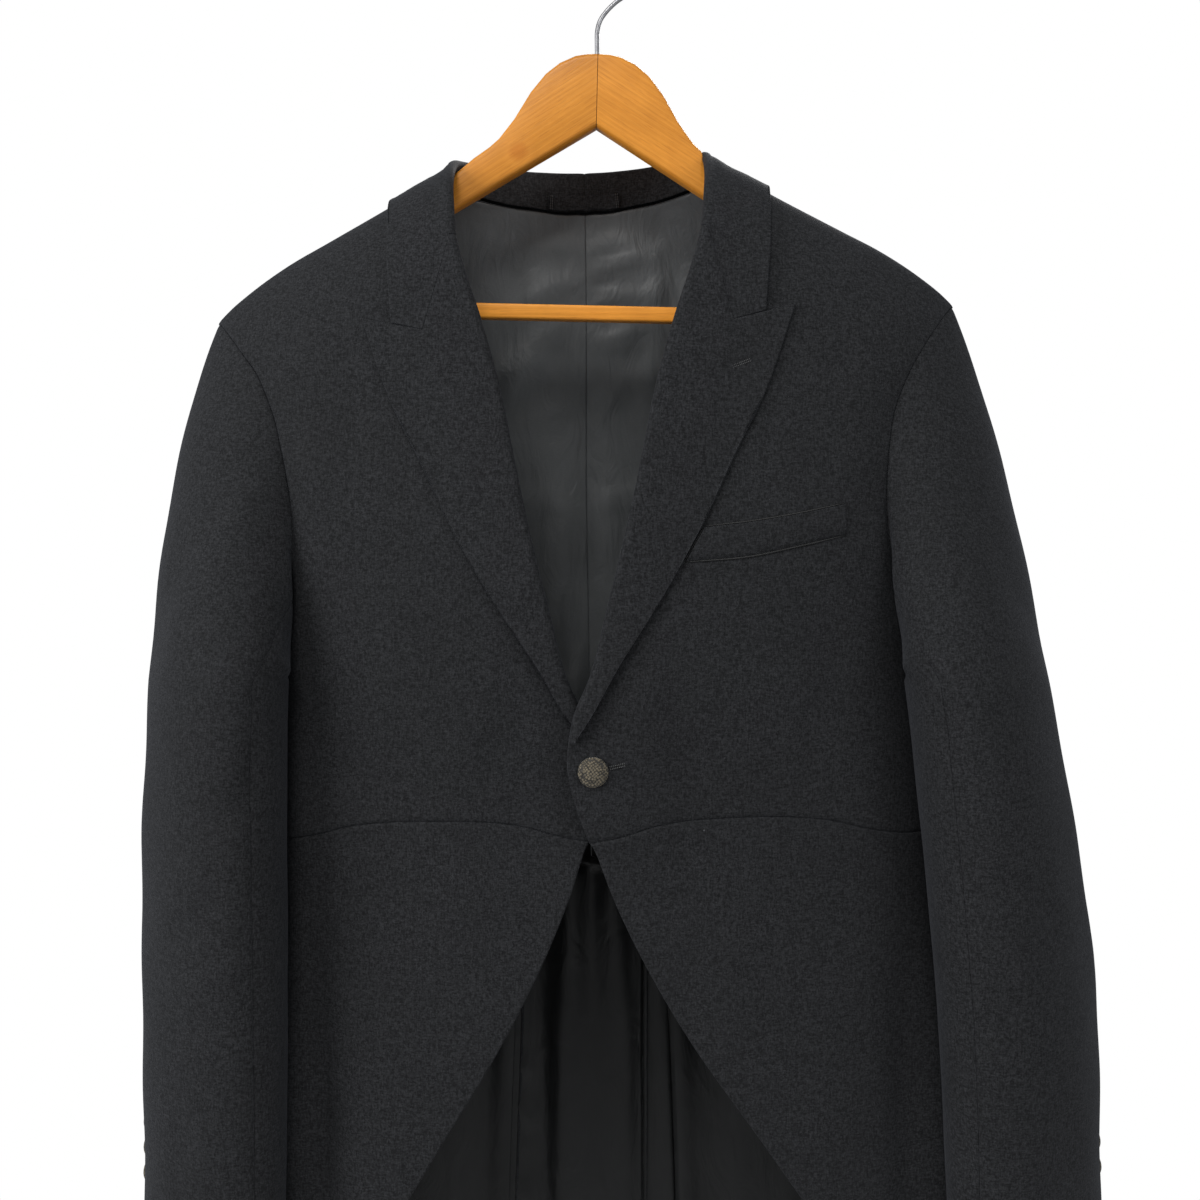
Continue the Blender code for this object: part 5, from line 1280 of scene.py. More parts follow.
FLOOR_RADIUS, FLOOR_Z = 0.84, -1.215
RESTS = {
    "front": ("hanger_arm_left", "hanger_arm_right"),
    "back": ("hanger_arm_left", "hanger_arm_right"),
}
SHEETS = []


def wall(name, outer, normals, thickness, look):
    """Dresses one cloth node of the frame with a fine shell of the same form."""
    kind = name.split("_")[0]
    inside = outside = None
    looks = [look, LOOKS["satin"]]
    # The insides of the skirts and the back panels, and the back lining below the waist, take the darker copy of the
    # satin: painted shade of the tail.
    if kind == "skirt":
        looks = [look, LOOKS["tail"]]
        inside = lambda r, c: r > 0.03
    elif name.startswith("lining_back"):
        looks = [LOOKS["satin"], LOOKS["tail"]]
        waist = np.interp(-0.578, outer[..., 2].mean(1), np.linspace(0, 1, len(outer)))
        inside = lambda r, c: r * 0
        outside = lambda r, c: r < waist
    elif kind in ("lapel", "collar", "breast", "hanging", "lining", "tape"):
        looks = [look]
        inside = lambda r, c: r * 0
    elif kind in ("topsleeve", "undersleeve"):
        inside = lambda r, c: r < 0.94
    elif kind == "back":
        looks = [look, LOOKS["tail"]]
        inside = lambda r, c: (r > 0.02) & (c > 0.09)
    if outside is not None:
        inside = outside
    shell = cloth_shell(name, outer, normals, thickness, EDGES[kind], inside)
    points, faces, kinds, places, cut, area = shell
    made = mesh_object(f"cloth_{name}", points, faces, looks, kinds, places)
    slot = "satin" if kind in ("lining", "hanging") else "wool"
    place_piece(made, slot, *([] if kind == "tape" else [name]))
    SHEETS.append((made.name, cut, area))
    return made


def body_panel(name, side, phi, z, look, lift=0.0, thickness=CLOTH, gap=0.0, edges=""):
    """A panel of the body from grids of angles and heights."""
    normals = body_normal(side, phi, z)
    lift = np.broadcast_to(np.asarray(lift, float), phi.shape)
    if name.startswith("lining"):
        lift = lift - wrinkles(side, phi, z)
    outer = body(side, phi, z) + normals * lift[..., None]
    return wall(name, outer, normals, thickness, look)


def wrinkles(side, phi, z):
    """How far the satin stands off the cloth behind it, inwards."""
    x = np.abs(body_x(side, phi, z))
    which = LINING_WRINKLES["side"] == side
    soft = 0.0004 + 0.0004 * np.sin(90 * x + 21 * z) * np.sin(37 * z - 50 * x + 1)
    rows, cols = np.linspace(0, 1, phi.shape[0])[:, None], np.linspace(0, 1, phi.shape[1])
    ends = step(1.0, 0.985, rows) * step(0, 0.05, cols) * step(1, 0.97, cols)
    return np.clip(crease_lines(LINING_WRINKLES, which, x, z) + soft, 0, 0.008) * ends


def node_of(tree, kind, at=(0, 0), **inputs):
    made = tree.nodes.new(kind)
    made.location = at
    for key, value in inputs.items():
        slot = key.replace("_", " ")
        if isinstance(value, bpy.types.NodeSocket):
            tree.links.new(value, made.inputs[slot])
        else:
            made.inputs[slot].default_value = value
    return made


def noise(tree, vector, scale, detail=2.0, roughness=0.5, distortion=0.0):
    made = node_of(tree, "ShaderNodeTexNoise", Vector=vector, Scale=scale, Detail=detail)
    made.inputs["Roughness"].default_value = roughness
    made.inputs["Distortion"].default_value = distortion
    return made.outputs["Fac"]


def ramp(tree, value, stops):
    made = tree.nodes.new("ShaderNodeValToRGB")
    tree.links.new(value, made.inputs["Fac"])
    points = made.color_ramp.elements
    while len(points) < len(stops):
        points.new(0.5)
    for point, (place, colour) in zip(points, stops):
        point.position = place
        point.color = (*colour, 1) if len(colour) == 3 else colour
    return made.outputs["Color"]


def grey(value):
    return (value, value, value)


def blend(tree, mode, factor, a, b):
    made = tree.nodes.new("ShaderNodeMix")
    made.data_type = "RGBA"
    made.blend_type = mode
    for socket, value in (("Factor", factor), ("A", a), ("B", b)):
        target = [s for s in made.inputs if s.name == socket and s.enabled][0]
        if isinstance(value, bpy.types.NodeSocket):
            tree.links.new(value, target)
        elif socket == "Factor":
            target.default_value = value
        else:
            target.default_value = (*value, 1)
    return [s for s in made.outputs if s.enabled][0]


def math_node(tree, operation, a, b=0.0, clamp=False):
    made = tree.nodes.new("ShaderNodeMath")
    made.operation = operation
    made.use_clamp = clamp
    for k, value in enumerate((a, b)):
        if isinstance(value, bpy.types.NodeSocket):
            tree.links.new(value, made.inputs[k])
        else:
            made.inputs[k].default_value = value
    return made.outputs[0]


def bump(tree, height, distance, strength=1.0, normal=None):
    made = tree.nodes.new("ShaderNodeBump")
    made.inputs["Distance"].default_value = distance
    made.inputs["Strength"].default_value = strength
    tree.links.new(height, made.inputs["Height"])
    if normal is not None:
        tree.links.new(normal, made.inputs["Normal"])
    return made.outputs["Normal"]


def new_material(name):
    made = bpy.data.materials.new(name)
    made.use_nodes = True
    tree = made.node_tree
    shader = tree.nodes["Principled BSDF"]
    place = tree.nodes.new("ShaderNodeTexCoord").outputs["Object"]
    return made, tree, shader, place


def uv_place(tree):
    made = tree.nodes.new("ShaderNodeUVMap")
    made.uv_map = "cloth"
    return made.outputs["UV"]


def scaled(tree, vector, scale, rotation=(0, 0, 0)):
    made = tree.nodes.new("ShaderNodeMapping")
    tree.links.new(vector, made.inputs["Vector"])
    made.inputs["Scale"].default_value = scale
    made.inputs["Rotation"].default_value = rotation
    return made.outputs["Vector"]


def link(tree, value, socket):
    tree.links.new(value, socket)


def wool_look():
    """Black worsted: a fine twill with a slight nap, uneven tone and a few specks of lint."""
    made, tree, shader, place = new_material("wool_dark")
    fibre = noise(tree, place, 950, 4, 0.7)
    warp = noise(tree, scaled(tree, place, (1000, 1000, 330)), 1, 2, 0.6)
    weft = noise(tree, scaled(tree, place, (340, 340, 980)), 1, 2, 0.6)
    yarn = math_node(tree, "MULTIPLY", math_node(tree, "ADD", warp, weft), 0.5)
    patch = noise(tree, place, 14, 3, 0.6)
    base = ramp(tree, fibre, [(0.36, (0.0092, 0.0096, 0.0105)), (0.64, (0.0198, 0.0203, 0.0218))])
    base = blend(tree, "MULTIPLY", 1.0, base, ramp(tree, yarn, [(0.40, grey(0.50)), (0.60, grey(1.50))]))
    base = blend(tree, "MULTIPLY", 1.0, base, ramp(tree, patch, [(0.30, grey(0.90)), (0.70, grey(1.10))]))
    cells = node_of(tree, "ShaderNodeTexVoronoi", Vector=place, Scale=30.0)
    cells.inputs["Randomness"].default_value = 1.0
    speck = math_node(tree, "LESS_THAN", cells.outputs["Distance"], 0.016)
    chosen = node_of(tree, "ShaderNodeSeparateColor", Color=cells.outputs["Color"])
    chosen = math_node(tree, "GREATER_THAN", chosen.outputs["Red"], 0.90)
    speck = math_node(tree, "MULTIPLY", speck, chosen)
    base = blend(tree, "MIX", math_node(tree, "MULTIPLY", speck, 0.55), base, (0.12, 0.125, 0.13))
    link(tree, base, shader.inputs["Base Color"])
    link(tree, ramp(tree, patch, [(0.2, grey(0.80)), (0.8, grey(0.92))]), shader.inputs["Roughness"])
    shader.inputs["Specular IOR Level"].default_value = 0.16
    shader.inputs["Sheen Weight"].default_value = 0.045
    shader.inputs["Sheen Roughness"].default_value = 0.45
    shader.inputs["Sheen Tint"].default_value = (0.75, 0.80, 0.95, 1)
    fine = bump(tree, yarn, 0.00030, 0.9)
    fine = bump(tree, fibre, 0.00024, 0.8, fine)
    link(tree, bump(tree, noise(tree, place, 120, 2), 0.0005, 0.25, fine), shader.inputs["Normal"])
    return made


def satin_look(name, depth, gloss):
    """Black satin lining: a smooth weave with a soft gloss and fine creasing. Depth scales its tone and gloss its
    shine, so one satin gives a lighter copy for the lit upper lining and a darker copy, painted shade, for the tail.
    """
    made, tree, shader, place = new_material(name)
    cloth = uv_place(tree)
    threads = noise(tree, scaled(tree, cloth, (350, 3800, 1)), 1, 2, 0.5)
    patch = noise(tree, place, 18, 3, 0.55, 0.4)
    # depth lightens or darkens the satin's tone, giving its lit and shaded copies: painted light and shade
    low, high = np.array([0.0200, 0.0215, 0.0225]) * depth, np.array([0.0310, 0.0330, 0.0345]) * depth
    base = ramp(tree, patch, [(0.25, tuple(low)), (0.75, tuple(high))])
    base = blend(tree, "MULTIPLY", 0.5, base, ramp(tree, threads, [(0.3, grey(0.75)), (0.7, grey(1.25))]))
    link(tree, base, shader.inputs["Base Color"])
    rough = noise(tree, place, 70, 2, 0.5)
    link(tree, ramp(tree, rough, [(0.2, grey(0.40)), (0.8, grey(0.52))]), shader.inputs["Roughness"])
    shader.inputs["Specular IOR Level"].default_value = 0.45 * gloss
    shader.inputs["Sheen Weight"].default_value = 0.05 * gloss
    shader.inputs["Sheen Roughness"].default_value = 0.3
    crumple = noise(tree, scaled(tree, place, (60, 60, 26)), 1, 3, 0.55, 1.2)
    soft = bump(tree, crumple, 0.0022, 0.5)
    link(tree, bump(tree, threads, 0.00008, 0.6, soft), shader.inputs["Normal"])
    return made


def wood_look(name, turn, knot, bright=1.0):
    """Varnished pale wood with grain along one direction, pores and a knot."""
    made, tree, shader, place = new_material(name)
    centred = tree.nodes.new("ShaderNodeMapping")
    centred.vector_type = "POINT"
    link(tree, place, centred.inputs["Vector"])
    centred.inputs["Rotation"].default_value = (0, turn, 0)
    grain_place = centred.outputs["Vector"]
    stretched = scaled(tree, grain_place, (5.0, 42.0, 42.0))
    wander = noise(tree, stretched, 1.0, 3, 0.5, 0.6)
    rings = node_of(tree, "ShaderNodeTexWave", Vector=scaled(tree, grain_place, (3.0, 30.0, 95.0)), Scale=1.0)
    rings.wave_type, rings.bands_direction = "BANDS", "Z"
    rings.inputs["Distortion"].default_value = 4.5
    rings.inputs["Detail"].default_value = 2.0
    rings.inputs["Detail Scale"].default_value = 0.8
    fibres = noise(tree, scaled(tree, grain_place, (26.0, 1500.0, 1500.0)), 1.0, 2, 0.6)
    pores = noise(tree, scaled(tree, grain_place, (90.0, 2400.0, 2400.0)), 1.0, 1, 0.5)
    # bright scales the wood's tone: low for the dark glue line, and high for the bar as painted light.
    low, high = np.array([0.600, 0.232, 0.027]) * bright, np.array([0.640, 0.256, 0.033]) * bright
    base = ramp(tree, rings.outputs["Fac"], [(0.10, tuple(low)), (0.90, tuple(high))])
    base = blend(tree, "MULTIPLY", 0.9, base, ramp(tree, wander, [(0.3, (0.86, 0.82, 0.72)), (0.7, (1.10, 1.10, 1.08))]))
    mottle = noise(tree, place, 55, 3, 0.6)
    base = blend(tree, "MULTIPLY", 0.6, base, ramp(tree, mottle, [(0.3, (0.90, 0.88, 0.84)), (0.7, (1.08, 1.10, 1.12))]))
    base = blend(tree, "MULTIPLY", 0.6, base, ramp(tree, fibres, [(0.3, grey(0.86)), (0.7, grey(1.10))]))
    base = blend(tree, "MULTIPLY", 0.4, base, ramp(tree, pores, [(0.30, (0.62, 0.52, 0.42)), (0.40, grey(1.0))]))
    if knot is not None:
        away = node_of(tree, "ShaderNodeVectorMath", Vector=place)
        away.operation = "DISTANCE"
        away.inputs[1].default_value = knot
        eye = ramp(
            tree,
            math_node(tree, "MULTIPLY", away.outputs["Value"], 45.0),
            [(0.0, (0.84, 0.72, 0.66)), (0.16, (0.90, 0.80, 0.74)), (0.34, (1.05, 1.06, 1.16)), (0.52, grey(1.0))],
        )
        base = blend(tree, "MULTIPLY", 0.9, base, eye)
    link(tree, base, shader.inputs["Base Color"])
    link(tree, ramp(tree, wander, [(0.2, grey(0.34)), (0.8, grey(0.48))]), shader.inputs["Roughness"])
    shader.inputs["Coat Weight"].default_value = 0.10
    shader.inputs["Coat Roughness"].default_value = 0.25
    shader.inputs["Specular IOR Level"].default_value = 0.25
    link(tree, bump(tree, fibres, 0.00012, 0.7), shader.inputs["Normal"])
    return made


def steel_look():
    """Bright drawn wire with slight tarnish."""
    made, tree, shader, place = new_material("wire_bright")
    patch = noise(tree, place, 160, 3, 0.6)
    link(tree, ramp(tree, patch, [(0.3, (0.24, 0.24, 0.25)), (0.7, (0.36, 0.36, 0.37))]), shader.inputs["Base Color"])
    link(tree, ramp(tree, patch, [(0.3, grey(0.32)), (0.7, grey(0.44))]), shader.inputs["Roughness"])
    shader.inputs["Metallic"].default_value = 1.0
    link(tree, bump(tree, noise(tree, place, 900, 2), 0.00006, 0.5), shader.inputs["Normal"])
    return made


def button_look():
    """Braided cord over a shell: warm grey-brown threads, with painted shade darkening the gaps between the cords."""
    made, tree, shader, place = new_material("braid_brown")
    strand = noise(tree, place, 2600, 2, 0.5)
    patch = noise(tree, place, 260, 2, 0.5)
    knots = node_of(tree, "ShaderNodeTexVoronoi", Vector=scaled(tree, place, (1, 1, 1), (0, math.radians(38), 0)))
    knots.inputs["Scale"].default_value = 620.0
    knots.inputs["Randomness"].default_value = 0.45
    raised = ramp(tree, knots.outputs["Distance"], [(0.30, grey(1.0)), (0.62, grey(0.0))])
    base = ramp(tree, patch, [(0.30, (0.066, 0.054, 0.033)), (0.70, (0.125, 0.102, 0.066))])
    # The gaps between the raised cords are darkened: painted shade.
    base = blend(tree, "MULTIPLY", 1.0, base, ramp(tree, raised, [(0.0, grey(0.12)), (0.9, grey(1.30))]))
    base = blend(tree, "MULTIPLY", 0.6, base, ramp(tree, strand, [(0.3, grey(0.66)), (0.7, grey(1.26))]))
    link(tree, base, shader.inputs["Base Color"])
    link(tree, ramp(tree, patch, [(0.3, grey(0.50)), (0.7, grey(0.66))]), shader.inputs["Roughness"])
    shader.inputs["Sheen Weight"].default_value = 0.15
    shader.inputs["Sheen Roughness"].default_value = 0.4
    link(tree, bump(tree, strand, 0.00012, 0.8, bump(tree, raised, 0.0005, 0.9)), shader.inputs["Normal"])
    return made


def thread_look(name, tone):
    """Dark twisted silk thread. With a low tone it gives near-black lines of painted shade."""
    made, tree, shader, place = new_material(name)
    twist = noise(tree, place, 3200, 1, 0.5)
    link(tree, ramp(tree, twist, [(0.3, grey(0.032 * tone)), (0.7, grey(0.076 * tone))]), shader.inputs["Base Color"])
    link(tree, ramp(tree, twist, [(0.3, grey(0.45)), (0.7, grey(0.62))]), shader.inputs["Roughness"])
    link(tree, bump(tree, twist, 0.0001, 0.8), shader.inputs["Normal"])
    return made


def floor_look():
    made, tree, shader, place = new_material("pale_floor")
    soft = noise(tree, place, 3, 2)
    link(tree, ramp(tree, soft, [(0.2, grey(0.78)), (0.8, grey(0.82))]), shader.inputs["Base Color"])
    shader.inputs["Roughness"].default_value = 0.9
    far = node_of(tree, "ShaderNodeVectorMath", Vector=place)
    far.operation = "DISTANCE"
    far.inputs[1].default_value = (0.0, 0.0, FLOOR_Z)
    link(tree, ramp(tree, far.outputs["Value"], [(0.45, grey(1.0)), (0.80, grey(0.0))]), shader.inputs["Alpha"])
    return made


def dome(name, centre, normal, radius, look, node, rings=16, segments=56):
    """A round button covered in woven cord, with a rounded rim."""
    normal = unit(np.asarray(normal, float))
    side_way = unit(np.cross(normal, [0.3, 0.1, 1.0]))
    up = np.cross(normal, side_way)
    points, faces = [], []
    for k in range(rings + 1):
        t = k / rings
        r = radius * min(1.0, 1.02 * math.sin(t * math.pi / 2 * 1.10) if t < 0.9 else 1.0)
        base = 0.0040 * math.sqrt(max(0.0, 1 - (0.95 * r / radius) ** 2)) + 0.0001
        if t > 0.9:
            base = base * (1 - (t - 0.9) / 0.1)
        for j in range(segments):
            a = 2 * math.pi * j / segments
            x, y = r * math.cos(a), r * math.sin(a)
            points.append(centre + normal * base + side_way * x + up * y)
    for k in range(rings):
        for j in range(segments):
            a, b = k * segments + j, k * segments + (j + 1) % segments
            faces.append((a, b, b + segments, a + segments))
    faces.append(tuple(range(segments))[::-1])
    faces.append(tuple(rings * segments + j for j in range(segments)))
    made = mesh_object(name, points, faces, [look])
    place_piece(made, "woven_button", node)
    return made


def button_spots():
    """Each button's node name, centre, the way it faces and its radius."""
    spots = []
    x, z = (np.array([value]) for value in BUTTON_XZ)
    own_x, own_z = lapel_to_body(1, x, z)
    phi = phi_at(1, own_x, own_z)
    normal = body_normal(1, phi, own_z)[0]
    spots.append(("button_front", body(1, phi, own_z)[0] + normal * SEAM_GAP, normal, FRONT_BUTTON))
    for side in (1, -1):
        for k in range(3):
            height = np.array([SLEEVE[side]["z"][0] + CUFF_BUTTON_FIRST + k * CUFF_BUTTON_STEP])
            spot, normal = sleeve_spot(side, -9.0, height)
            spots.append((f"button_cuff_{NAMES[side]}_{k + 1}", spot + normal * 0.0004, normal, CUFF_BUTTON))
        z = np.array([-0.574])
        phi = phi_at(side, BACK_SEAM_TAIL[-1][0] - 0.011, z, -1)
        normal = body_normal(side, phi, z)[0]
        spots.append((f"button_back_{NAMES[side]}", body(side, phi, z)[0] + normal * 0.0004, normal, FRONT_BUTTON))
    return spots


def tube(points, radius, sides=8):
    """Points and faces of a round bar along a path."""
    points = np.asarray(points, float)
    tangent = unit(np.gradient(points, axis=0))
    helper = np.array([0.0, 1.0, 0.0]) if abs(tangent[0][1]) < 0.9 else np.array([1.0, 0, 0])
    side_way = unit(np.cross(tangent, helper))
    up = np.cross(side_way, tangent)
    radius = np.broadcast_to(radius, len(points))
    verts, faces = [], []
    for k in range(len(points)):
        for j in range(sides):
            a = 2 * math.pi * j / sides
            verts.append(points[k] + radius[k] * (side_way[k] * math.cos(a) + up[k] * math.sin(a)))
    faces = [tuple(range(sides))[::-1], tuple((len(points) - 1) * sides + j for j in range(sides))]
    for k in range(len(points) - 1):
        for j in range(sides):
            a, b = k * sides + j, k * sides + (j + 1) % sides
            faces.append((a, b, b + sides, a + sides))
    return verts, faces


def threads(name, runs, radius, look, slot="wool"):
    """Short raised stitches, each a run of points on the cloth."""
    points, faces = [], []
    for run in runs:
        run = np.asarray(run, float)
        share = np.linspace(0, 1, len(run))
        verts, quads = tube(run, radius * np.sqrt(np.clip(1 - (2 * share - 1) ** 4, 0.05, 1)), 6)
        faces += [tuple(v + len(points) for v in f) for f in quads]
        points += verts
    made = mesh_object(name, points, faces, [look])
    return place_piece(made, slot)


def on_front(side, x, z, lift):
    """Points on the front in lapel measures."""
    x, z = np.atleast_1d(np.asarray(x, float)), np.atleast_1d(np.asarray(z, float))
    return front_at(side, x, z, np.broadcast_to(lift, x.shape))


def buttonhole(name, side, start, end, lift, look, half=0.0014, pitch=0.0011):
    """A worked buttonhole: close stitches across both lips of a slit."""
    start, end = np.array(start), np.array(end)
    length = np.linalg.norm(end - start)
    along_way = (end - start) / length
    across = np.array([-along_way[1], along_way[0]])
    runs = []
    for k in range(int(length / pitch)):
        middle = start + along_way * (k + 0.5) * pitch
        for sign in (1, -1):
            ends = [middle + across * sign * d for d in (0.00015, half * 0.55, half)]
            flat = np.array(ends)
            high = np.array([0.0001, 0.00045, 0.0]) + lift
            runs.append(front_at(side, flat[:, 0], flat[:, 1], high))
    return threads(name, runs, 0.00042, look)


def hanger_arms():
    """The two flat arms with round edges, their grain along each arm."""
    for side in (1, -1):
        collar_x = 0.0640 if side > 0 else 0.0868
        xs = [p[0] for p in ARM_TOP] + [collar_x, collar_x + 0.0025, 0.1, 0.112, 0.13, 0.15, 0.17, 0.19, 0.2, ARM_END]
        xs = finer(sorted(xs), 4)
        half, soft = WOOD / 2, 0.0036
        arc = np.radians(np.linspace(0, 90, 6))
        rings = []
        for k, x in enumerate(xs):
            top, bottom = arm_levels(side, x)
            ring = []
            for corner, (sy, low) in enumerate(((-1, False), (1, False), (1, True), (-1, True))):
                angles = arc if corner % 2 == 0 else arc[::-1]
                for a in angles:
                    y = sy * (half - soft + soft * math.cos(a))
                    drop = (bottom - soft + soft * math.sin(a)) if low else (top + soft - soft * math.sin(a))
                    ring.append(hanger_point(side * x, y, drop))
            rings.append(ring)
        count = len(rings[0])
        points = [p for ring in rings for p in ring]
        faces = [tuple(range(count)), tuple(count * (len(rings) - 1) + k for k in range(count))]
        for r in range(len(rings) - 1):
            for k in range(count):
                a, b = r * count + k, r * count + (k + 1) % count
                faces.append((a, b, b + count, a + count))
        name = f"hanger_arm_{NAMES[side]}"
        made = mesh_object(f"wood_{NAMES[side]}", points, faces, [LOOKS[f"wood_{NAMES[side]}"]], smooth_angle=55)
        place_piece(made, "wood", name)


def hanger_joint():
    """The glue line between the two arms."""
    top, bottom = arm_levels(1, ARM_TOP[0][0])
    half, gap, edge = WOOD / 2 - 0.0007, 0.0004, 0.0009
    points = [
        hanger_point(x, y, drop) for drop in (top + edge, bottom - edge) for y in (-half, half) for x in (-gap, gap)
    ]
    faces = [(0, 1, 3, 2), (4, 6, 7, 5), (0, 4, 5, 1), (2, 3, 7, 6), (0, 2, 6, 4), (1, 5, 7, 3)]
    place_piece(mesh_object("wood_joint", points, faces, [LOOKS["wood_joint"]]), "wood")


def hanger_parts():
    """The bar and the hook."""
    middle, half, soft = 0.1685, BAR / 2, 0.0016
    arc = np.radians(np.linspace(0, 90, 5))
    rings = []
    for share in np.linspace(-1, 1, 41):
        ring = []
        for corner in range(4):
            for a in arc:
                turn = a + corner * math.pi / 2
                sy = math.copysign(half - soft, math.cos(corner * math.pi / 2 + math.pi / 4))
                sz = math.copysign(half - soft, math.sin(corner * math.pi / 2 + math.pi / 4))
                y, drop = sy + soft * math.cos(turn), middle + sz + soft * math.sin(turn)
                reach = (drop - ARM_UNDER_DROP) / ARM_UNDER_SLOPE - 0.0006
                ring.append(hanger_point(share * reach, y, drop))
        rings.append(ring)
    count = len(rings[0])
    points = [p for ring in rings for p in ring]
    faces = [tuple(range(count)), tuple(count * (len(rings) - 1) + k for k in range(count))]
    for r in range(len(rings) - 1):
        for k in range(count):
            a, b = r * count + k, r * count + (k + 1) % count
            faces.append((a, b, b + count, a + count))
    made = mesh_object("wood_bar", points, faces, [LOOKS["wood_bar"]], smooth_angle=50)
    place_piece(made, "wood", "hanger_bar")
    radius = HOOK_RADIUS + WIRE / 2
    path = [(-0.0005, CREST_Z + 0.0004), (-0.0006, -0.0700), (-0.0004, -0.0620)]
    path += [(0.0014, -0.0556), (0.0052, -0.0500)]
    for degree in range(-60, 206, 13):
        turn = math.radians(degree)
        path.append((radius * math.cos(turn), -HOOK_RADIUS + radius * math.sin(turn)))
    path = along(np.array(path), np.linspace(0, 1, 110))
    path = np.stack([path[:, 0], np.zeros(len(path)), path[:, 1]], -1)
    thick = np.full(len(path), WIRE / 2)
    thick[-3:] = WIRE / 2 * np.array([0.92, 0.75, 0.45])
    verts, faces = tube(path, thick, 14)
    made = mesh_object("wire_hook", verts, faces, [LOOKS["steel"]], smooth_angle=60)
    place_piece(made, "steel", "hanger_hook")


def welt_piece():
    """The breast welt, a folded strip sewn down at its ends and foot."""
    u, v = np.linspace(0, 1, 40), np.linspace(0, 1, 8)
    low, high = along(WELT_LOW, u), along(WELT_HIGH, u)
    flat = low[None] + (high - low)[None] * v[:, None, None]
    lift = 0.0016 + SEAM_GAP + 0.0005 * np.sin(math.pi * v)[:, None] + 0 * flat[..., 0]
    points = front_at(1, flat[..., 0], flat[..., 1], lift)
    wall("breast_welt", points, front_normal(1, flat[..., 0], flat[..., 1]), 0.0016, LOOKS["wool"])


def pocket_seam_and_shade():
    """Near-black lines along the mouth of the breast pocket and the seam round its welt: partly the seam, mostly
    painted shade where the mouth opens and the seam sinks.
    """
    low, high = along(WELT_LOW, np.linspace(0, 1, 40)), along(WELT_HIGH, np.linspace(0, 1, 40))
    inner = 0 if low[0, 0] < low[-1, 0] else -1
    end = low[inner] + (high[inner] - low[inner]) * np.linspace(0, 1, 8)[:, None]
    runs = []
    for line, shift in ((high, (0, 0.0006)), (low, (0, -0.0005)), (end, (-0.0006, 0))):
        flat = line + np.array(shift)
        runs.append(front_at(1, flat[:, 0], flat[:, 1], np.full(len(flat), 0.00035)))
    threads("pocket_seam_and_shade", runs, 0.00065, LOOKS["seam"])


def armhole_tape(side):
    """The seam allowance behind the armhole, on both the body and the sleeve."""
    theta = np.linspace(30, 330, 101)
    phi, z = armhole(side, theta)
    rim, normal = body(side, phi, z), body_normal(side, phi, z)
    along_rim = unit(np.gradient(rim, axis=0))
    inward = unit(np.cross(along_rim, normal))
    middle = rim.mean(0)
    inward = inward * np.sign(((rim - middle) * inward).sum(-1))[:, None]
    sleeve_rows, _ = sleeve_grid(side, theta[None].repeat(4, 0), np.array([0, 0.02, 0.04, 0.07]), np.array([]))
    under = CLOTH + 0.0003
    rows = [rim + inward * reach - normal * under for reach in (0.006, 0.004, 0.002, 0.0)]
    centre = sleeve_middle(side, z)
    for row in sleeve_rows[1:]:
        rows.append(row + unit(centre - row) * under)
    grid = np.array(rows)
    wall(f"tape_{NAMES[side]}", grid, np.broadcast_to(normal, grid.shape), 0.0006, LOOKS["wool"])


def loop_piece():
    """The hanging loop, a narrow folded strip with a bar of stitches at each end."""
    grid, normals = [], []
    half = 0.0255
    xs = np.linspace(-half, half, 41)
    for x in xs:
        side = 1 if x >= 0 else -1
        s = np.interp(abs(x), COLLAR["neck_x"][:5:-1], np.arange(8, 5, -1))
        neck, fold, out, up = collar_frame(side, np.array([s]))
        low = neck[0] - out[0] * CLOTH
        high = fold[0] - out[0] * COLLAR_ROLL
        sag = 0.0006 * (1 - (x / half) ** 2)
        shares = np.linspace(0.06, 0.47, 7)
        crown = 0.0004 * np.sin(np.linspace(0, math.pi, 7))
        grid.append([low + (high - low) * share - out[0] * (0.0022 + c + sag) for share, c in zip(shares, crown)])
        normals.append([-out[0]] * 7)
    wall("hanging_loop", np.array(grid), np.array(normals), 0.0012, LOOKS["wool"])
    runs = []
    for column in (1, 2, len(xs) - 3, len(xs) - 2):
        line, way = np.array(grid[column]), np.array(normals[column])
        for k in range(0, 6):
            runs.append([line[k] + way[k] * 0.0001, (line[k] + line[k + 1]) / 2 + way[k] * 0.0005, line[k + 1] + way[k] * 0.0001])
    threads("loop_tacks", runs, 0.00028, LOOKS["thread"], "satin")


def dress_coat():
    wool, satin = LOOKS["wool"], LOOKS["satin"]
    for side in (1, -1):
        front_panel(side, wool)
        side_panel(side, wool)
        back_panel(side, wool)
        skirt(side, wool)
        lapel(side, wool)
        collar(side, wool)
        sleeve(side, wool)
        back_lining(side, satin)
        # The skirts' lining takes the darker copy of the satin: painted shade.
        skirt_lining(side, LOOKS["tail"])
        armhole_tape(side)
    welt_piece()
    pocket_seam_and_shade()
    loop_piece()
    for node, spot, normal, radius in button_spots():
        dome(f"braided_{node}", spot, normal, radius, LOOKS["button"], node)
    buttonhole("front_buttonhole", 1, (0.0190, -0.5367), (0.0291, -0.5348), 0.0001, LOOKS["thread"])
    buttonhole("lapel_buttonhole", 1, (0.0890, -0.2960), (0.1060, -0.2900), FLAT_LIFT + 0.0002, LOOKS["thread"], 0.0012)


def area_light(name, place, aim, size, energy, colour):
    data = bpy.data.lights.new(name, "AREA")
    data.shape, data.size, data.energy, data.color = "DISK", size, energy, colour
    made = bpy.data.objects.new(name, data)
    made.location = place
    made.rotation_euler = (Vector(aim) - Vector(place)).to_track_quat("-Z", "Y").to_euler()
    bpy.context.scene.collection.objects.link(made)


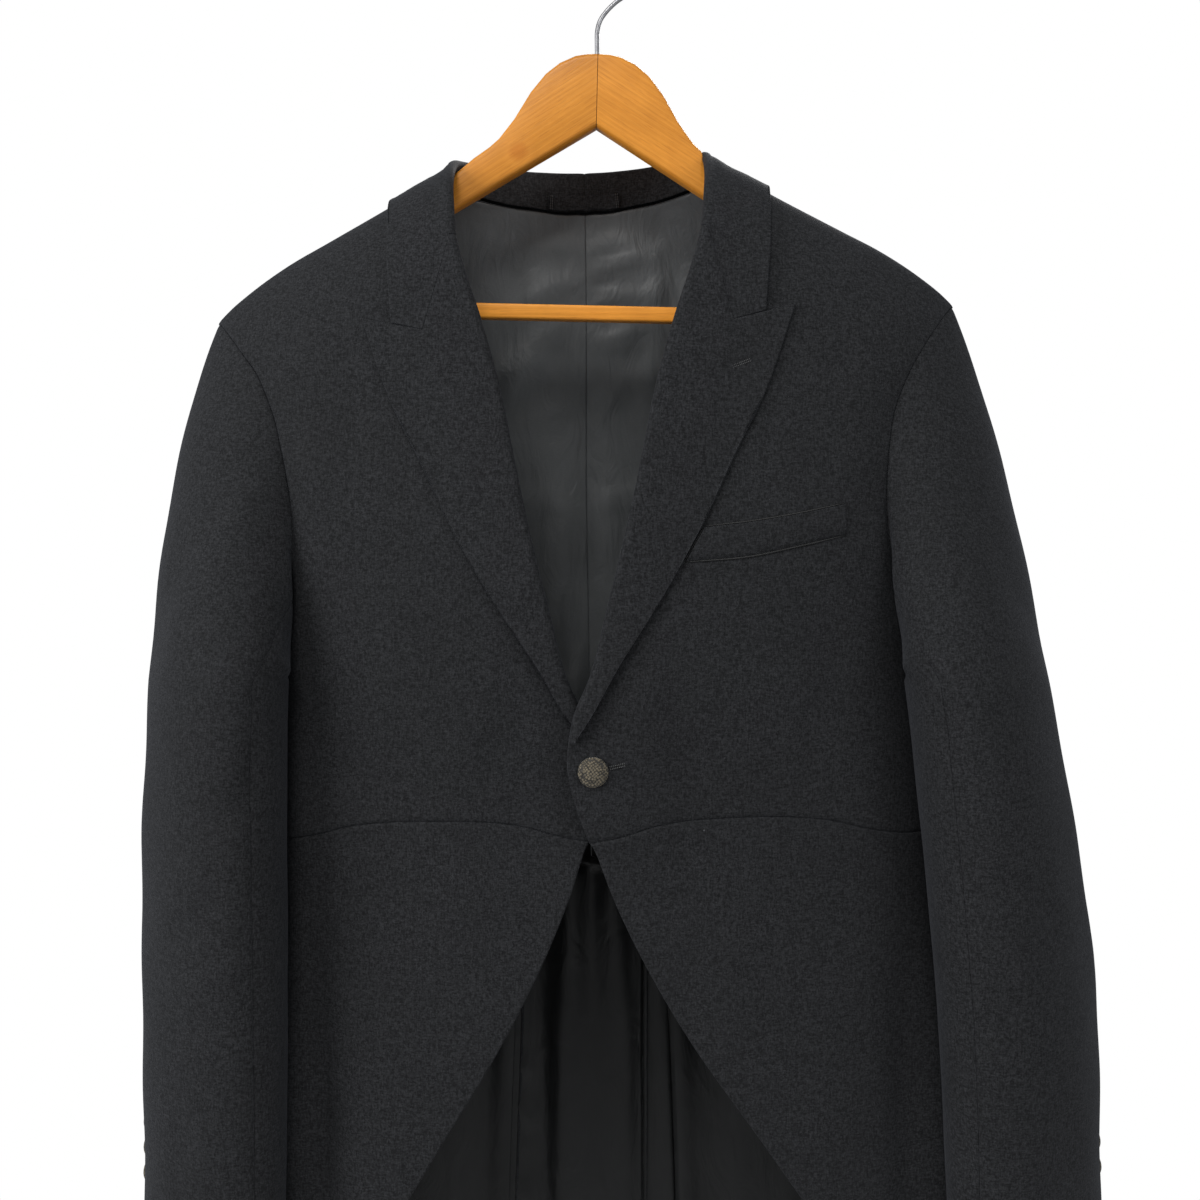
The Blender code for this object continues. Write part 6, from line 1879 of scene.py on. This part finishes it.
def pale_room():
    """White walls to look at, which light the coat less than the lamps do."""
    made = bpy.data.worlds.new("pale_room")
    made.use_nodes = True
    tree = made.node_tree
    seen = tree.nodes["Background"]
    seen.inputs["Color"].default_value = (1, 1, 1, 1)
    seen.inputs["Strength"].default_value = 1.0
    lit = tree.nodes.new("ShaderNodeBackground")
    lit.inputs["Color"].default_value = (0.97, 0.985, 1, 1)
    lit.inputs["Strength"].default_value = ROOM_LIGHT
    mixed = tree.nodes.new("ShaderNodeMixShader")
    tree.links.new(tree.nodes.new("ShaderNodeLightPath").outputs["Is Camera Ray"], mixed.inputs["Fac"])
    tree.links.new(lit.outputs["Background"], mixed.inputs[1])
    tree.links.new(seen.outputs["Background"], mixed.inputs[2])
    tree.links.new(mixed.outputs["Shader"], tree.nodes["World Output"].inputs["Surface"])
    return made


ROOM_LIGHT = 0.42


def studio():
    """Camera at the photograph's place, a white surround, a pale round floor and soft lights."""
    scene = bpy.context.scene
    data = bpy.data.cameras.new("camera")
    data.angle = math.radians(44.81)
    data.clip_start = 0.05
    camera = bpy.data.objects.new("camera", data)
    camera.location = (0.0013, -0.95, -0.4337)
    camera.rotation_euler = (math.radians(90), 0, 0)
    scene.collection.objects.link(camera)
    scene.camera = camera
    scene.view_settings.view_transform = "Standard"
    scene.world = pale_room()
    area_light("key", (-0.45, -1.5, 1.25), (0, 0, -0.5), 0.8, 20, (1.0, 0.99, 0.97))
    area_light("fill", (1.7, -1.5, 0.1), (0, 0, -0.6), 1.2, 11, (0.95, 0.97, 1.0))
    area_light("side", (-1.9, -1.1, 0.1), (0, 0, -0.6), 1.2, 34, (0.97, 0.98, 1.0))
    area_light("back", (0.5, 2.0, 1.1), (0, 0, -0.6), 1.2, 40, (1.0, 0.99, 0.98))
    angles = np.linspace(0, 2 * math.pi, 96, endpoint=False)
    rim = [(FLOOR_RADIUS * math.cos(a), FLOOR_RADIUS * math.sin(a), FLOOR_Z) for a in angles]
    n = len(rim)
    faces = [tuple(range(n)), tuple(range(2 * n - 1, n - 1, -1))]
    faces += [(k, k + n, (k + 1) % n + n, (k + 1) % n) for k in range(n)]
    floor = mesh_object("floor", rim + [(x, y, z - 0.01) for x, y, z in rim], faces, [LOOKS["floor"]], smooth_angle=30)


LOOKS = {
    "wool": wool_look(),
    # The upper lining's satin, lighter where it is lit, and a darker copy of it for the tail: painted shade.
    "satin": satin_look("satin_dark", 2.5, 1.0),
    "tail": satin_look("satin_painted_shade", 0.22, 0.6),
    "button": button_look(),
    "thread": thread_look("thread_dark", 1.0),
    # Near-black lines for the pocket's mouth and the seam round its welt: painted shade.
    "seam": thread_look("seam_and_shade_black", 0.10),
    "steel": steel_look(),
    "floor": floor_look(),
    "wood_left": wood_look("wood_left", math.radians(-33), None, 1.05),
    "wood_right": wood_look("wood_right", math.radians(33), (-0.0515, -0.0065, -0.1430), 0.94),
    "wood_joint": wood_look("wood_joint", 0.0, None, 0.30),
    # The bar's wood is made lighter than the arms' to offset the shade it hangs in: painted light.
    "wood_bar": wood_look("wood_bar", 0.0, None, 1.5),
}

studio()
dress_coat()
hanger_arms()
hanger_parts()
hanger_joint()
